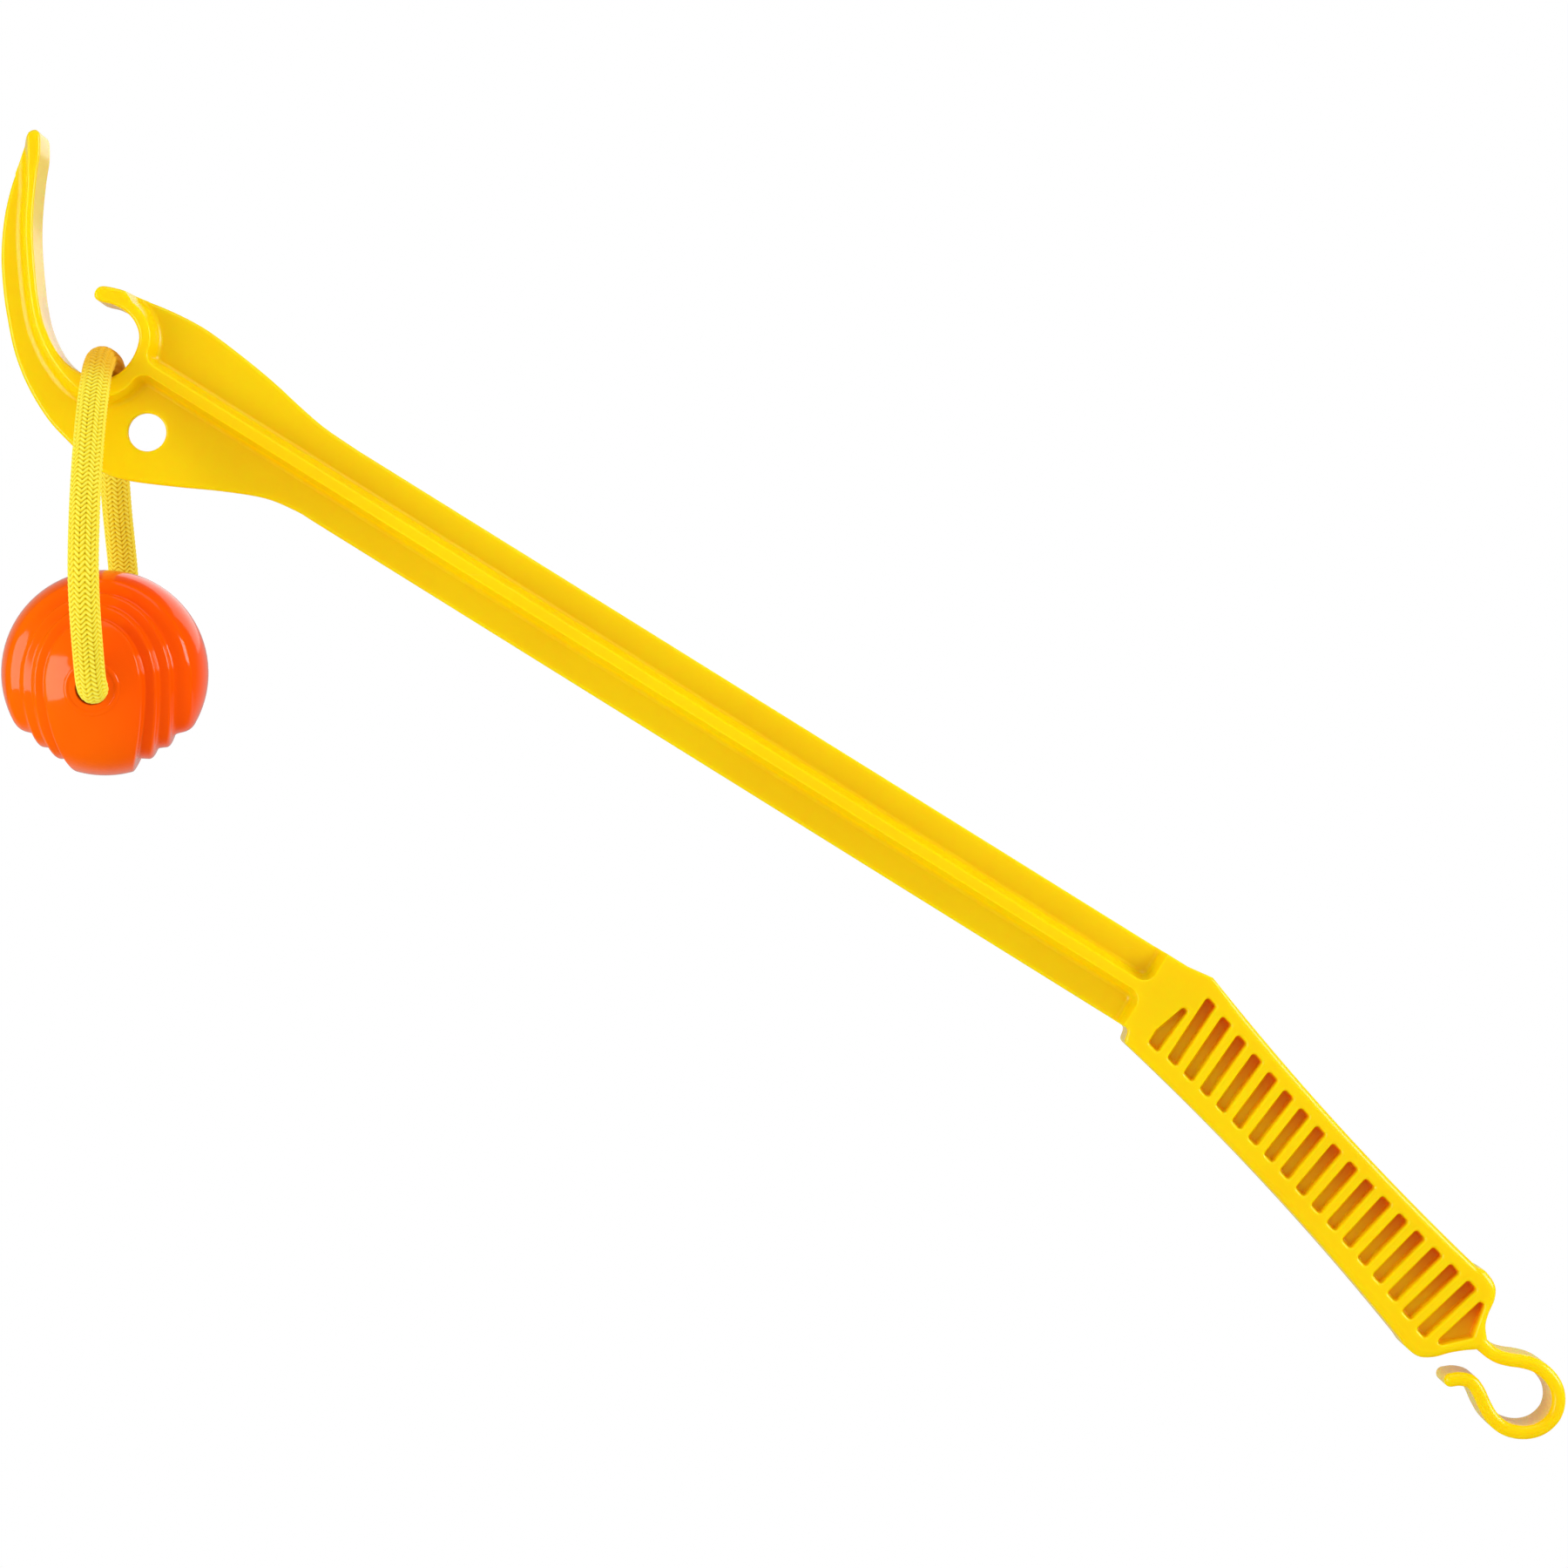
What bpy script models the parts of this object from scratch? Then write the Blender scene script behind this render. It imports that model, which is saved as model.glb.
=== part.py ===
"""Dog ball thrower: a ribbed plastic launcher with a claw, and a ridged rubber ball that hangs in the
claw on a loop of braided rope.

The frame is the one in which the thrower is held: +X to the grip's side, +Z up, +Y through the launcher's
thickness, and the origin at the middle of the hand grip. Lengths are in metres.
"""

import math

import bmesh
import bpy
from mathutils import Matrix, Vector

MM = 0.001

# How the launcher is held: how far the blade and the grip fall to the right, below the horizontal.
BLADE_FALL = math.radians(31.9)
GRIP_FALL = math.radians(47.4)

# Launcher moulding: its thickness, its web, and the form of its recess walls.
DEPTH = 22.0 * MM
WEB_THICKNESS = 2.8 * MM
EDGE_ROUND = 1.2 * MM
WALL_DRAFT = 1.2 * MM
FOOT_FILLET = 1.6 * MM
RECESS_EDGE_ROUND = 0.5 * MM
RECESS_CORNER_ROUND = 3.4 * MM
RECESS_CORNER_CLEAR = 0.2 * MM
CUT_OVERRUN = 5.0 * MM

# Blade: the flat bar between head and grip, with one rib along its middle on each side. Its places are
# counted from the middle of the grip's start: along the blade to the head, and across it upwards.
BLADE_WIDTH = 26.2 * MM
BLADE_OFFSET = 0.83 * MM
RIB_WIDTH = 3.6 * MM
SHOULDER_NOTCH_ALONG = 5.47 * MM
RECESS_END_ALONG = 7.47 * MM

# Head: the saddle's place in the blade's frame, and the size that the head's outlines are shares of.
SADDLE_ALONG = 382.37 * MM
SADDLE_ACROSS = -9.87 * MM
HEAD_SIZE = 100.0 * MM
RIM_WIDTH = 3.6 * MM
SADDLE_RIM_EXTRA = 2.2 * MM
HANG_HOLE_RADIUS = 5.9 * MM
HANG_HOLE_EDGE = 0.8 * MM

# Shares of HEAD_SIZE from the saddle, to the right and up. The inner edge runs from the claw's tip down
# into the saddle and up to the short hook's tip.
INNER_EDGE_SHARES = (
    (-0.172, 0.730), (-0.179, 0.690), (-0.190, 0.625), (-0.200, 0.520), (-0.201, 0.434),
    (-0.193, 0.319), (-0.182, 0.232), (-0.164, 0.158), (-0.127, 0.083), (-0.076, 0.032),
    (0.000, 0.000), (0.058, 0.014), (0.097, 0.051), (0.120, 0.096), (0.126, 0.138),
    (0.112, 0.178), (0.085, 0.208), (0.047, 0.229), (0.015, 0.237),
)
HOOK_TIP_SHARES = ((-0.006, 0.246), (-0.012, 0.262), (-0.003, 0.280), (0.018, 0.287))
HOOK_TOP_SHARES = (
    (0.072, 0.276), (0.123, 0.256), (0.212, 0.220), (0.296, 0.178), (0.363, 0.134),
    (0.475, 0.047), (0.551, -0.018), (0.613, -0.076), (0.692, -0.144),
)
CLAW_TIP_SHARES = ((-0.238, 0.725), (-0.218, 0.759), (-0.192, 0.770), (-0.174, 0.755))
CLAW_OUTER_SHARES = (
    (-0.256, 0.680), (-0.285, 0.600), (-0.306, 0.505), (-0.315, 0.395), (-0.309, 0.286),
    (-0.295, 0.190), (-0.272, 0.085), (-0.231, -0.018), (-0.170, -0.118), (-0.103, -0.191),
    (-0.040, -0.252), (0.010, -0.289),
)
PLATE_BOTTOM_SHARES = (
    (0.087, -0.311), (0.230, -0.329), (0.374, -0.343), (0.507, -0.365), (0.604, -0.405),
)
HANG_HOLE_SHARES = (0.140, -0.159)
CLAW_RECESS_TOP_SHARE = 0.700
HOOK_RECESS_TOP_SHARES = (0.100, 0.265)
HOOK_RECESS_OVERRUN = 6.5 * MM
BLADE_START_TOP_SHARE = 0.789
BLADE_START_BOTTOM_SHARE = 0.784
INNER_EDGE_STEPS = 3
OUTER_EDGE_STEPS = 2

# Grip: a bar that is narrower at its middle, with blind slots on both sides.
GRIP_LENGTH = 136.0 * MM
GRIP_WAIST = 29.0 * MM
GRIP_FLARE = 2.6 * MM
GRIP_CORNER_ROUND = 2.0 * MM
GRIP_STEPS = 8
SLOT_COUNT = 17
SLOT_WIDTH = 3.6 * MM
SLOT_TOP_RIM = 4.8 * MM
SLOT_BOTTOM_RIM = 6.0 * MM
SLOT_FLOOR_HALF = 1.2 * MM
SLOT_DRAFT = 0.3 * MM
SLOT_CORNER_ROUND = 0.7 * MM
SLOT_FIRST_SHARE = -0.433
SLOT_LAST_SHARE = 0.443
SLOT_FIRST_LEAN = math.radians(14.0)
SLOT_LAST_LEAN = math.radians(0.5)

# The small pockets before the first slot and after the last, in shares of GRIP_WAIST: along the grip from
# its start or its end, and across it.
FRONT_POCKET_SHARES = (
    (0.178, -0.40), (0.328, -0.40), (0.197, 0.17), (0.150, 0.17), (0.136, -0.25),
)
END_POCKET_SHARES = ((-0.070, 0.385), (-0.066, -0.320), (0.150, 0.020))

# Ring hook at the grip's end, for a belt or a branch: a strip bent round an open ring, with its lip turned
# out. The points of its middle line are shares of RING_SIZE, to the right and up from the grip's end.
RING_SIZE = 10.0 * MM
RING_STRIP = 4.3 * MM
RING_SHARES = (
    (0.64, -0.50), (0.88, -0.72), (1.16, -0.88), (1.50, -0.97), (1.86, -1.02), (2.29, -1.15),
    (2.68, -1.44), (2.94, -1.84), (3.00, -2.30), (2.86, -2.73), (2.52, -3.06), (2.10, -3.21),
    (1.66, -3.20), (1.26, -3.05), (0.93, -2.75), (0.70, -2.36), (0.52, -1.96), (0.29, -1.66),
    (-0.04, -1.57), (-0.34, -1.60),
)
GRIP_TOP_END_SHARES = ((0.442, 0.600), (0.479, 0.575), (0.502, 0.475), (0.517, 0.320), (0.533, 0.205))
GRIP_BOTTOM_END_SHARES = (
    (0.542, -0.135), (0.523, -0.270), (0.505, -0.430), (0.480, -0.545), (0.444, -0.575),
)

# Rope: a braided round cord in one loop, over the saddle and through the ball.
ROPE_DIAMETER = 9.68 * MM
ROPE_SIDE_STEP = 0.8 * MM
SEAT_GAP = 0.3 * MM
ROPE_RESOLUTION = 4
ROPE_STEP = 7.0 * MM

# The route, in shares of LOOP_SIZE: out along Y and up from the saddle's surface. The front leg runs from
# the swing axis to the knot, and the back leg does the same on the far side.
LOOP_SIZE = 100.0 * MM
BIGHT_ROUTE_SHARES = (
    (0.000, 0.058), (0.056, 0.058), (0.116, 0.049), (0.165, 0.026),
)
FRONT_ROUTE_SHARES = (
    (0.197, 0.000), (0.260, -0.066), (0.330, -0.154), (0.395, -0.256), (0.450, -0.370),
    (0.492, -0.490), (0.512, -0.600), (0.500, -0.688), (0.472, -0.764), (0.436, -0.832),
    (0.400, -0.893), (0.363, -0.938), (0.319, -0.961), (0.274, -0.957), (0.200, -0.943),
    (0.130, -0.931), (0.092, -0.924),
)
BACK_ROUTE_SHARES = (
    (0.197, 0.000), (0.244, -0.076), (0.286, -0.170), (0.326, -0.272), (0.368, -0.372),
    (0.410, -0.468), (0.444, -0.560), (0.460, -0.650), (0.450, -0.730), (0.416, -0.790),
    (0.372, -0.827), (0.324, -0.847), (0.274, -0.857), (0.200, -0.871), (0.130, -0.883),
    (0.091, -0.890),
)
KNOT_HALF_LENGTH = 9.0 * MM
KNOT_RADIUS = 8.6 * MM
KNOT_END_RADIUS = 5.2 * MM

# Ball: its centre hangs below the saddle, and its bore falls towards the front.
BALL_RADIUS = 32.0 * MM
BALL_DROP = 90.7 * MM
BORE_FALL = math.radians(10.3)
BORE_RADIUS = 5.5 * MM
LIP_ROUND = 2.8 * MM
CAVITY_RADIUS = 12.5 * MM
RIDGE_DROP = 1.4 * MM
GROOVE_DEPTH = 3.5 * MM

# Each ridge line of the ball: how far from the bore its top and its side lie, and how far from the ball's
# lowest point its foot lies, in degrees, with the share of the groove's depth or the ridge's drop.
RIDGE_LINES = (
    (40.3, 27.8, 15.9, "full"), (43.6, 32.0, 20.6, "groove"), (52.0, 38.2, 28.4, "ridge"),
    (55.3, 42.8, 34.2, "groove"), (62.8, 49.0, 41.0, "ridge"), (66.4, 53.8, 47.8, "groove"),
    (71.5, 62.0, 56.0, "full"),
)
RIDGE_STEPS = 7
BAND_STEPS = 8
CAP_STEPS = 12
TURN_STEPS = 20
ARC_ANGLES = (0.0, math.radians(45), math.radians(90))

# Where the loop's path off the claw turns, to the right and up from the saddle, in shares of HEAD_SIZE.
RELEASE_CENTRE_SHARES = (0.846, 0.508)


def clear_scene():
    for obj in list(bpy.data.objects):
        bpy.data.objects.remove(obj, do_unlink=True)


def along_fall(fall, along, across):
    """A point of the XZ plane given along a line that falls to the right, and across it."""
    x = along * math.cos(fall) + across * math.sin(fall)
    z = across * math.cos(fall) - along * math.sin(fall)
    return Vector((x, z))


def from_grip(along, across):
    return along_fall(GRIP_FALL, along, across)


def from_blade(along, across):
    return from_grip(-GRIP_LENGTH / 2, 0) + along_fall(BLADE_FALL, -along, across)


def saddle():
    return from_blade(SADDLE_ALONG, SADDLE_ACROSS)


def blade_start(share, across):
    """Where the blade's straight edge starts, a share of the head's size from the saddle."""
    return from_blade(SADDLE_ALONG - share * HEAD_SIZE, across)


def from_head(share):
    return saddle() + Vector(share) * HEAD_SIZE


def from_ring(share):
    return from_grip(GRIP_LENGTH / 2, 0) + Vector(share) * RING_SIZE


def from_grip_share(share):
    return from_grip(share[0] * GRIP_LENGTH, share[1] * GRIP_WAIST)


def smooth(points, steps):
    """Points on a smooth curve through the given ones, with the same number of steps in every span."""
    ends = [2 * points[0] - points[1], *points, 2 * points[-1] - points[-2]]
    found = []
    for i in range(1, len(ends) - 2):
        before, start, stop, after = ends[i - 1:i + 3]
        for k in range(steps):
            t = k / steps
            found.append(0.5 * (
                2 * start
                + t * (stop - before)
                + t * t * (2 * before - 5 * start + 4 * stop - after)
                + t * t * t * (3 * start - before - 3 * stop + after)
            ))
    found.append(points[-1])
    return found


def side_steps(points):
    """The unit normal on the left of a polyline at each point, stretched so that offsets stay parallel."""
    normals = []
    last = len(points) - 1
    for i, point in enumerate(points):
        before = (point - points[max(i - 1, 0)]).normalized()
        after = (points[min(i + 1, last)] - point).normalized()
        if i == 0:
            before = after
        if i == last:
            after = before
        left = Vector((-before.y, before.x))
        right = Vector((-after.y, after.x))
        normals.append((left + right) / (1 + left.dot(right)))
    return normals


def offset_line(points, distances):
    return [p + n * d for p, n, d in zip(points, side_steps(points), distances, strict=True)]


def offset_loop(points, distance):
    """A closed outline moved outwards by a distance: the outline runs counter-clockwise."""
    count = len(points)
    moved = []
    for i, point in enumerate(points):
        before = (point - points[i - 1]).normalized()
        after = (points[(i + 1) % count] - point).normalized()
        right = Vector((before.y, -before.x))
        next_right = Vector((after.y, -after.x))
        moved.append(point + (right + next_right) * (distance / (1 + right.dot(next_right))))
    return moved


def rounded(corner, before, after, radius, steps=3):
    """An arc that rounds a corner between two neighbouring points."""
    to_before = (before - corner).normalized()
    to_after = (after - corner).normalized()
    half = 0.5 * to_before.angle(to_after)
    reach = radius / math.tan(half)
    bisector = (to_before + to_after).normalized()
    centre = corner + bisector * (radius / math.sin(half))
    start = corner + to_before * reach - centre
    turn = (corner + to_after * reach - centre).angle_signed(start)
    return [centre + Matrix.Rotation(turn * k / steps, 2) @ start for k in range(steps + 1)]


def counter_clockwise(points):
    area = sum(a.cross(b) for a, b in zip(points, points[1:] + points[:1], strict=True))
    return points if area > 0 else points[::-1]


def add_object(name, mesh):
    obj = bpy.data.objects.new(name, mesh)
    bpy.context.scene.collection.objects.link(obj)
    return obj


def mesh_from(name, bm):
    bmesh.ops.recalc_face_normals(bm, faces=bm.faces)
    mesh = bpy.data.meshes.new(name)
    bm.to_mesh(mesh)
    bm.free()
    return mesh


def add_stack(bm, loops):
    """A closed solid through a stack of loops, each a list of (x, z) points at its own y."""
    rings = [[bm.verts.new((p.x, y, p.y)) for p in points] for points, y in loops]
    for low, high in zip(rings, rings[1:], strict=False):
        for i, vert in enumerate(low):
            j = (i + 1) % len(low)
            bm.faces.new((vert, low[j], high[j], high[i]))
    bm.faces.new(rings[0][::-1])
    bm.faces.new(rings[-1])


def material(name, colour, roughness):
    made = bpy.data.materials.new(name)
    made.use_nodes = True
    shader = made.node_tree.nodes["Principled BSDF"]
    shader.inputs["Base Color"].default_value = (*colour, 1.0)
    shader.inputs["Roughness"].default_value = roughness
    shader.inputs["Metallic"].default_value = 0.0
    return made


def as_cutter(obj):
    obj.hide_render = True
    obj.display_type = "WIRE"
    return obj


def cut(obj, cutter):
    modifier = obj.modifiers.new(cutter.name, "BOOLEAN")
    modifier.operation = "DIFFERENCE"
    modifier.solver = "EXACT"
    modifier.object = as_cutter(cutter)


def inner_edge():
    return smooth([from_head(s) for s in INNER_EDGE_SHARES], INNER_EDGE_STEPS)


def rim_line():
    """The rim's outer side: it follows the inner edge, and is wider round the saddle."""
    edge = inner_edge()
    seat = saddle()
    widths = []
    for point in edge:
        near = math.exp(-((point - seat).length / (0.1 * HEAD_SIZE)) ** 2)
        widths.append(-(RIM_WIDTH + SADDLE_RIM_EXTRA * near))
    return offset_line(edge, widths)


def grip_half_width(along):
    return GRIP_WAIST / 2 + GRIP_FLARE * (2 * along / GRIP_LENGTH) ** 2


def grip_edge(start, stop, side):
    points = []
    for k in range(GRIP_STEPS + 1):
        along = start + (stop - start) * k / GRIP_STEPS
        points.append(from_grip(along, side * grip_half_width(along)))
    return points


def ring_sides():
    """The ring hook's strip: its outer side, its round end and its inner side, as one line."""
    line = smooth([from_ring(share) for share in RING_SHARES], 2)
    half = RING_STRIP / 2
    outer = offset_line(line, [half] * len(line))
    inner = offset_line(line, [-half] * len(line))
    tip = line[-1]
    start = outer[-1] - tip
    cap = [tip + Matrix.Rotation(-math.pi * k / 6, 2) @ start for k in range(1, 6)]
    return outer + cap + inner[::-1]


def launcher_outline():
    half_blade = BLADE_WIDTH / 2
    top = from_blade(0, BLADE_OFFSET + half_blade)
    top_start = blade_start(BLADE_START_TOP_SHARE, BLADE_OFFSET + half_blade)
    bottom = from_blade(SHOULDER_NOTCH_ALONG, BLADE_OFFSET - half_blade)
    bottom_start = blade_start(BLADE_START_BOTTOM_SHARE, BLADE_OFFSET - half_blade)
    half_grip = GRIP_LENGTH / 2
    shoulder_along = -half_grip + GRIP_CORNER_ROUND * 2
    upper = grip_edge(shoulder_along + GRIP_CORNER_ROUND * 3, 0.42 * GRIP_LENGTH, 1)
    lower = grip_edge(0.42 * GRIP_LENGTH, -half_grip + GRIP_CORNER_ROUND * 3, -1)
    top_corner = from_grip(shoulder_along, grip_half_width(shoulder_along))
    bottom_corner = from_grip(-half_grip, -grip_half_width(half_grip))
    outline = inner_edge()
    outline += smooth([from_head(s) for s in HOOK_TIP_SHARES], 1)
    outline += smooth([*(from_head(s) for s in HOOK_TOP_SHARES), top_start], OUTER_EDGE_STEPS)
    outline += rounded(top, top_start, top_corner, GRIP_CORNER_ROUND)
    outline += rounded(top_corner, top, upper[0], GRIP_CORNER_ROUND / 2)
    outline += upper
    outline += [from_grip_share(s) for s in GRIP_TOP_END_SHARES]
    outline += ring_sides()
    outline += [from_grip_share(s) for s in GRIP_BOTTOM_END_SHARES]
    outline += lower
    outline += rounded(bottom_corner, lower[-1], bottom, GRIP_CORNER_ROUND / 2)
    outline += rounded(bottom, bottom_corner, bottom_start, GRIP_CORNER_ROUND / 2)
    plate = [bottom_start, *(from_head(s) for s in PLATE_BOTTOM_SHARES[::-1])]
    claw = [from_head(s) for s in CLAW_OUTER_SHARES[::-1]]
    outline += smooth(plate + claw, OUTER_EDGE_STEPS)
    outline += [from_head(s) for s in CLAW_TIP_SHARES]
    return counter_clockwise(outline)


def launcher_blank():
    outline = launcher_outline()
    half = DEPTH / 2
    loops = []
    for angle in ARC_ANGLES:
        inset = EDGE_ROUND * (1 - math.sin(angle))
        drop = EDGE_ROUND * (1 - math.cos(angle))
        loops.append((offset_loop(outline, -inset), drop - half))
    loops += [(points, -y) for points, y in reversed(loops)]
    bm = bmesh.new()
    add_stack(bm, loops)
    return mesh_from("launcher", bm)


def crossing(line, across):
    """The index after which a line first rises above a place across the blade, and the crossing point."""
    def height(point):
        away = point - from_blade(0, 0)
        return away.x * math.sin(BLADE_FALL) + away.y * math.cos(BLADE_FALL)

    lowest = min(range(len(line)), key=lambda i: height(line[i]))
    for i in range(lowest, len(line) - 1):
        low, high = height(line[i]), height(line[i + 1])
        if low <= across < high:
            return i, line[i].lerp(line[i + 1], (across - low) / (high - low))
    return len(line) - 2, line[-1]


def clear_of(corner, line):
    """The points of a line that leave room for the rounding of a recess corner."""
    room = RECESS_CORNER_ROUND + RECESS_CORNER_CLEAR
    return [p for p in line if (p - corner).length > room]


def lower_recess():
    """The recess under the rib: the claw's back, the plate and the blade's lower half."""
    rim = rim_line()
    rib = BLADE_OFFSET - RIB_WIDTH / 2
    top = from_head((0, CLAW_RECESS_TOP_SHARE)).y
    index, corner = crossing(rim, rib)
    side = [p for p in clear_of(corner, rim[:index + 1]) if p.y < top]
    end = from_blade(RECESS_END_ALONG, rib)
    outside = BLADE_OFFSET - BLADE_WIDTH / 2 - CUT_OVERRUN
    region = side + rounded(corner, side[-1], end, RECESS_CORNER_ROUND)
    region += rounded(end, corner, from_blade(RECESS_END_ALONG, outside), RECESS_CORNER_ROUND)
    region.append(from_blade(RECESS_END_ALONG, outside))
    plate = [blade_start(BLADE_START_BOTTOM_SHARE, outside + CUT_OVERRUN)]
    plate += [from_head(s) for s in PLATE_BOTTOM_SHARES[::-1]]
    claw = [from_head(s) for s in CLAW_OUTER_SHARES[::-1]]
    wide = smooth(plate + [p for p in claw if p.y < top], 1)
    region += offset_line(wide, [CUT_OVERRUN] * len(wide))
    return counter_clockwise(region)


def upper_recess():
    """The recess over the rib: behind the short hook and along the blade's upper half."""
    rim = rim_line()
    rib = BLADE_OFFSET + RIB_WIDTH / 2
    index, corner = crossing(rim, rib)
    hook_top = from_head(HOOK_RECESS_TOP_SHARES) + Vector((0, HOOK_RECESS_OVERRUN))
    side = [p for p in clear_of(corner, rim[index + 1:]) if p.x > hook_top.x]
    end = from_blade(RECESS_END_ALONG, rib)
    outside = BLADE_OFFSET + BLADE_WIDTH / 2 + CUT_OVERRUN
    region = [hook_top, *side[::-1]]
    region += rounded(corner, side[0], end, RECESS_CORNER_ROUND)
    region += rounded(end, corner, from_blade(RECESS_END_ALONG, outside), RECESS_CORNER_ROUND)
    region.append(from_blade(RECESS_END_ALONG, outside))
    hook = [p for p in (from_head(s) for s in HOOK_TOP_SHARES) if p.x > hook_top.x]
    wide = [*hook, blade_start(BLADE_START_TOP_SHARE, outside - CUT_OVERRUN)]
    region += offset_line(wide, [CUT_OVERRUN] * len(wide))[::-1]
    return counter_clockwise(region)


def add_recess(bm, region, side):
    """A recess cutter on one face: drafted walls, a round edge at the face and a fillet at the foot."""
    half = DEPTH / 2
    foot_top = WEB_THICKNESS / 2 + FOOT_FILLET
    levels = [(RECESS_EDGE_ROUND, half + CUT_OVERRUN)]
    for angle in ARC_ANGLES:
        inset = RECESS_EDGE_ROUND * (1 - math.sin(angle))
        levels.append((inset, half - RECESS_EDGE_ROUND * (1 - math.cos(angle))))
    for angle in ARC_ANGLES:
        inset = WALL_DRAFT + FOOT_FILLET * (1 - math.cos(angle))
        levels.append((-inset, foot_top - FOOT_FILLET * math.sin(angle)))
    add_stack(bm, [(offset_loop(region, offset), side * y) for offset, y in levels])


def recess_cutter():
    bm = bmesh.new()
    for region in (lower_recess(), upper_recess()):
        for side in (-1, 1):
            add_recess(bm, region, side)
    return add_object("recess_cutter", mesh_from("recess_cutter", bm))


def pocket_outline(corners):
    """A pocket's outline with every corner rounded."""
    outline = []
    count = len(corners)
    for i, corner in enumerate(corners):
        before, after = corners[i - 1], corners[(i + 1) % count]
        outline += rounded(corner, before, after, SLOT_CORNER_ROUND, 2)
    return counter_clockwise(outline)


def slot_corners(index):
    share = index / (SLOT_COUNT - 1)
    lean = SLOT_FIRST_LEAN + (SLOT_LAST_LEAN - SLOT_FIRST_LEAN) * share
    along = GRIP_LENGTH * (SLOT_FIRST_SHARE + (SLOT_LAST_SHARE - SLOT_FIRST_SHARE) * share)
    top = grip_half_width(along) - SLOT_TOP_RIM
    bottom = SLOT_BOTTOM_RIM - grip_half_width(along)
    foot = along + (top - bottom) * math.tan(lean)
    half = SLOT_WIDTH / 2
    return [
        from_grip(foot - half, bottom), from_grip(foot + half, bottom),
        from_grip(along + half, top), from_grip(along - half, top),
    ]


def waist_shares(start, shares):
    return [from_grip(start + along * GRIP_WAIST, across * GRIP_WAIST) for along, across in shares]


def slot_cutter():
    """All the blind pockets of the grip, on both faces."""
    pockets = [slot_corners(i) for i in range(SLOT_COUNT)]
    pockets.append(waist_shares(-GRIP_LENGTH / 2, FRONT_POCKET_SHARES))
    pockets.append(waist_shares(GRIP_LENGTH / 2, END_POCKET_SHARES))
    bm = bmesh.new()
    for corners in pockets:
        outline = pocket_outline(corners)
        for side in (-1, 1):
            levels = ((0, DEPTH / 2 + CUT_OVERRUN), (0, DEPTH / 2), (-SLOT_DRAFT, SLOT_FLOOR_HALF))
            add_stack(bm, [(offset_loop(outline, offset), side * y) for offset, y in levels])
    return add_object("slot_cutter", mesh_from("slot_cutter", bm))


def hole_cutter():
    """The hanging hole through the plate, with a rounded edge on both faces."""
    centre = from_head(HANG_HOLE_SHARES)
    circle = [
        centre + HANG_HOLE_RADIUS * Vector((math.cos(a), math.sin(a)))
        for a in (2 * math.pi * k / TURN_STEPS for k in range(TURN_STEPS))
    ]
    half = WEB_THICKNESS / 2
    levels = [(HANG_HOLE_EDGE, half + CUT_OVERRUN)]
    for angle in ARC_ANGLES:
        inset = HANG_HOLE_EDGE * (1 - math.sin(angle))
        levels.append((inset, half - HANG_HOLE_EDGE * (1 - math.cos(angle))))
    levels += [(offset, -y) for offset, y in reversed(levels)]
    bm = bmesh.new()
    add_stack(bm, [(offset_loop(circle, offset), y) for offset, y in levels])
    return add_object("hole_cutter", mesh_from("hole_cutter", bm))


def make_launcher():
    launcher = add_object("launcher", launcher_blank())
    cut(launcher, recess_cutter())
    cut(launcher, slot_cutter())
    cut(launcher, hole_cutter())
    launcher.data.materials.append(material("yellow_plastic", (0.91, 0.60, 0.01), 0.35))
    return launcher


def add_empty(name, place, parent=None):
    obj = bpy.data.objects.new(name, None)
    bpy.context.scene.collection.objects.link(obj)
    obj.parent = parent
    obj.location = place
    return obj


def loop_place():
    """The point under the loop on the saddle's surface: the swing axis passes through it."""
    seat = saddle()
    return Vector((seat.x + ROPE_SIDE_STEP, 0, seat.y))


def release_place():
    centre = from_head(RELEASE_CENTRE_SHARES)
    return Vector((centre.x, 0, centre.y))


def route(shares, side):
    return [Vector((0, side * out, up)) * LOOP_SIZE for out, up in shares]


def evenly(points, step):
    """Points along a dense line, about one step apart, with both ends kept."""
    reach = [0.0]
    for a, b in zip(points, points[1:], strict=False):
        reach.append(reach[-1] + (b - a).length)
    count = max(2, round(reach[-1] / step))
    found = []
    index = 0
    for k in range(count + 1):
        target = reach[-1] * k / count
        while index < len(reach) - 2 and reach[index + 1] < target:
            index += 1
        span = reach[index + 1] - reach[index]
        found.append(points[index].lerp(points[index + 1], (target - reach[index]) / span))
    return found


def whole_line():
    """The rope's middle line from the knot round the loop to the knot, relative to the swing axis."""
    front = route(FRONT_ROUTE_SHARES, -1)
    back = route(BACK_ROUTE_SHARES, 1)
    bight = route(BIGHT_ROUTE_SHARES[:0:-1], -1) + route(BIGHT_ROUTE_SHARES, 1)
    return smooth(front[::-1] + bight + back, 10)


def add_tube(name, points, radii, parent, shift, look):
    curve = bpy.data.curves.new(name, "CURVE")
    curve.dimensions = "3D"
    curve.bevel_depth = ROPE_DIAMETER / 2
    curve.bevel_resolution = ROPE_RESOLUTION
    curve.use_fill_caps = True
    spline = curve.splines.new("POLY")
    spline.points.add(len(points) - 1)
    for spot, point, radius in zip(spline.points, points, radii, strict=True):
        spot.co = (*(point - shift), 1.0)
        spot.radius = radius
    curve.materials.append(look)
    obj = add_object(name, curve)
    obj.parent = parent
    return obj


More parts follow.
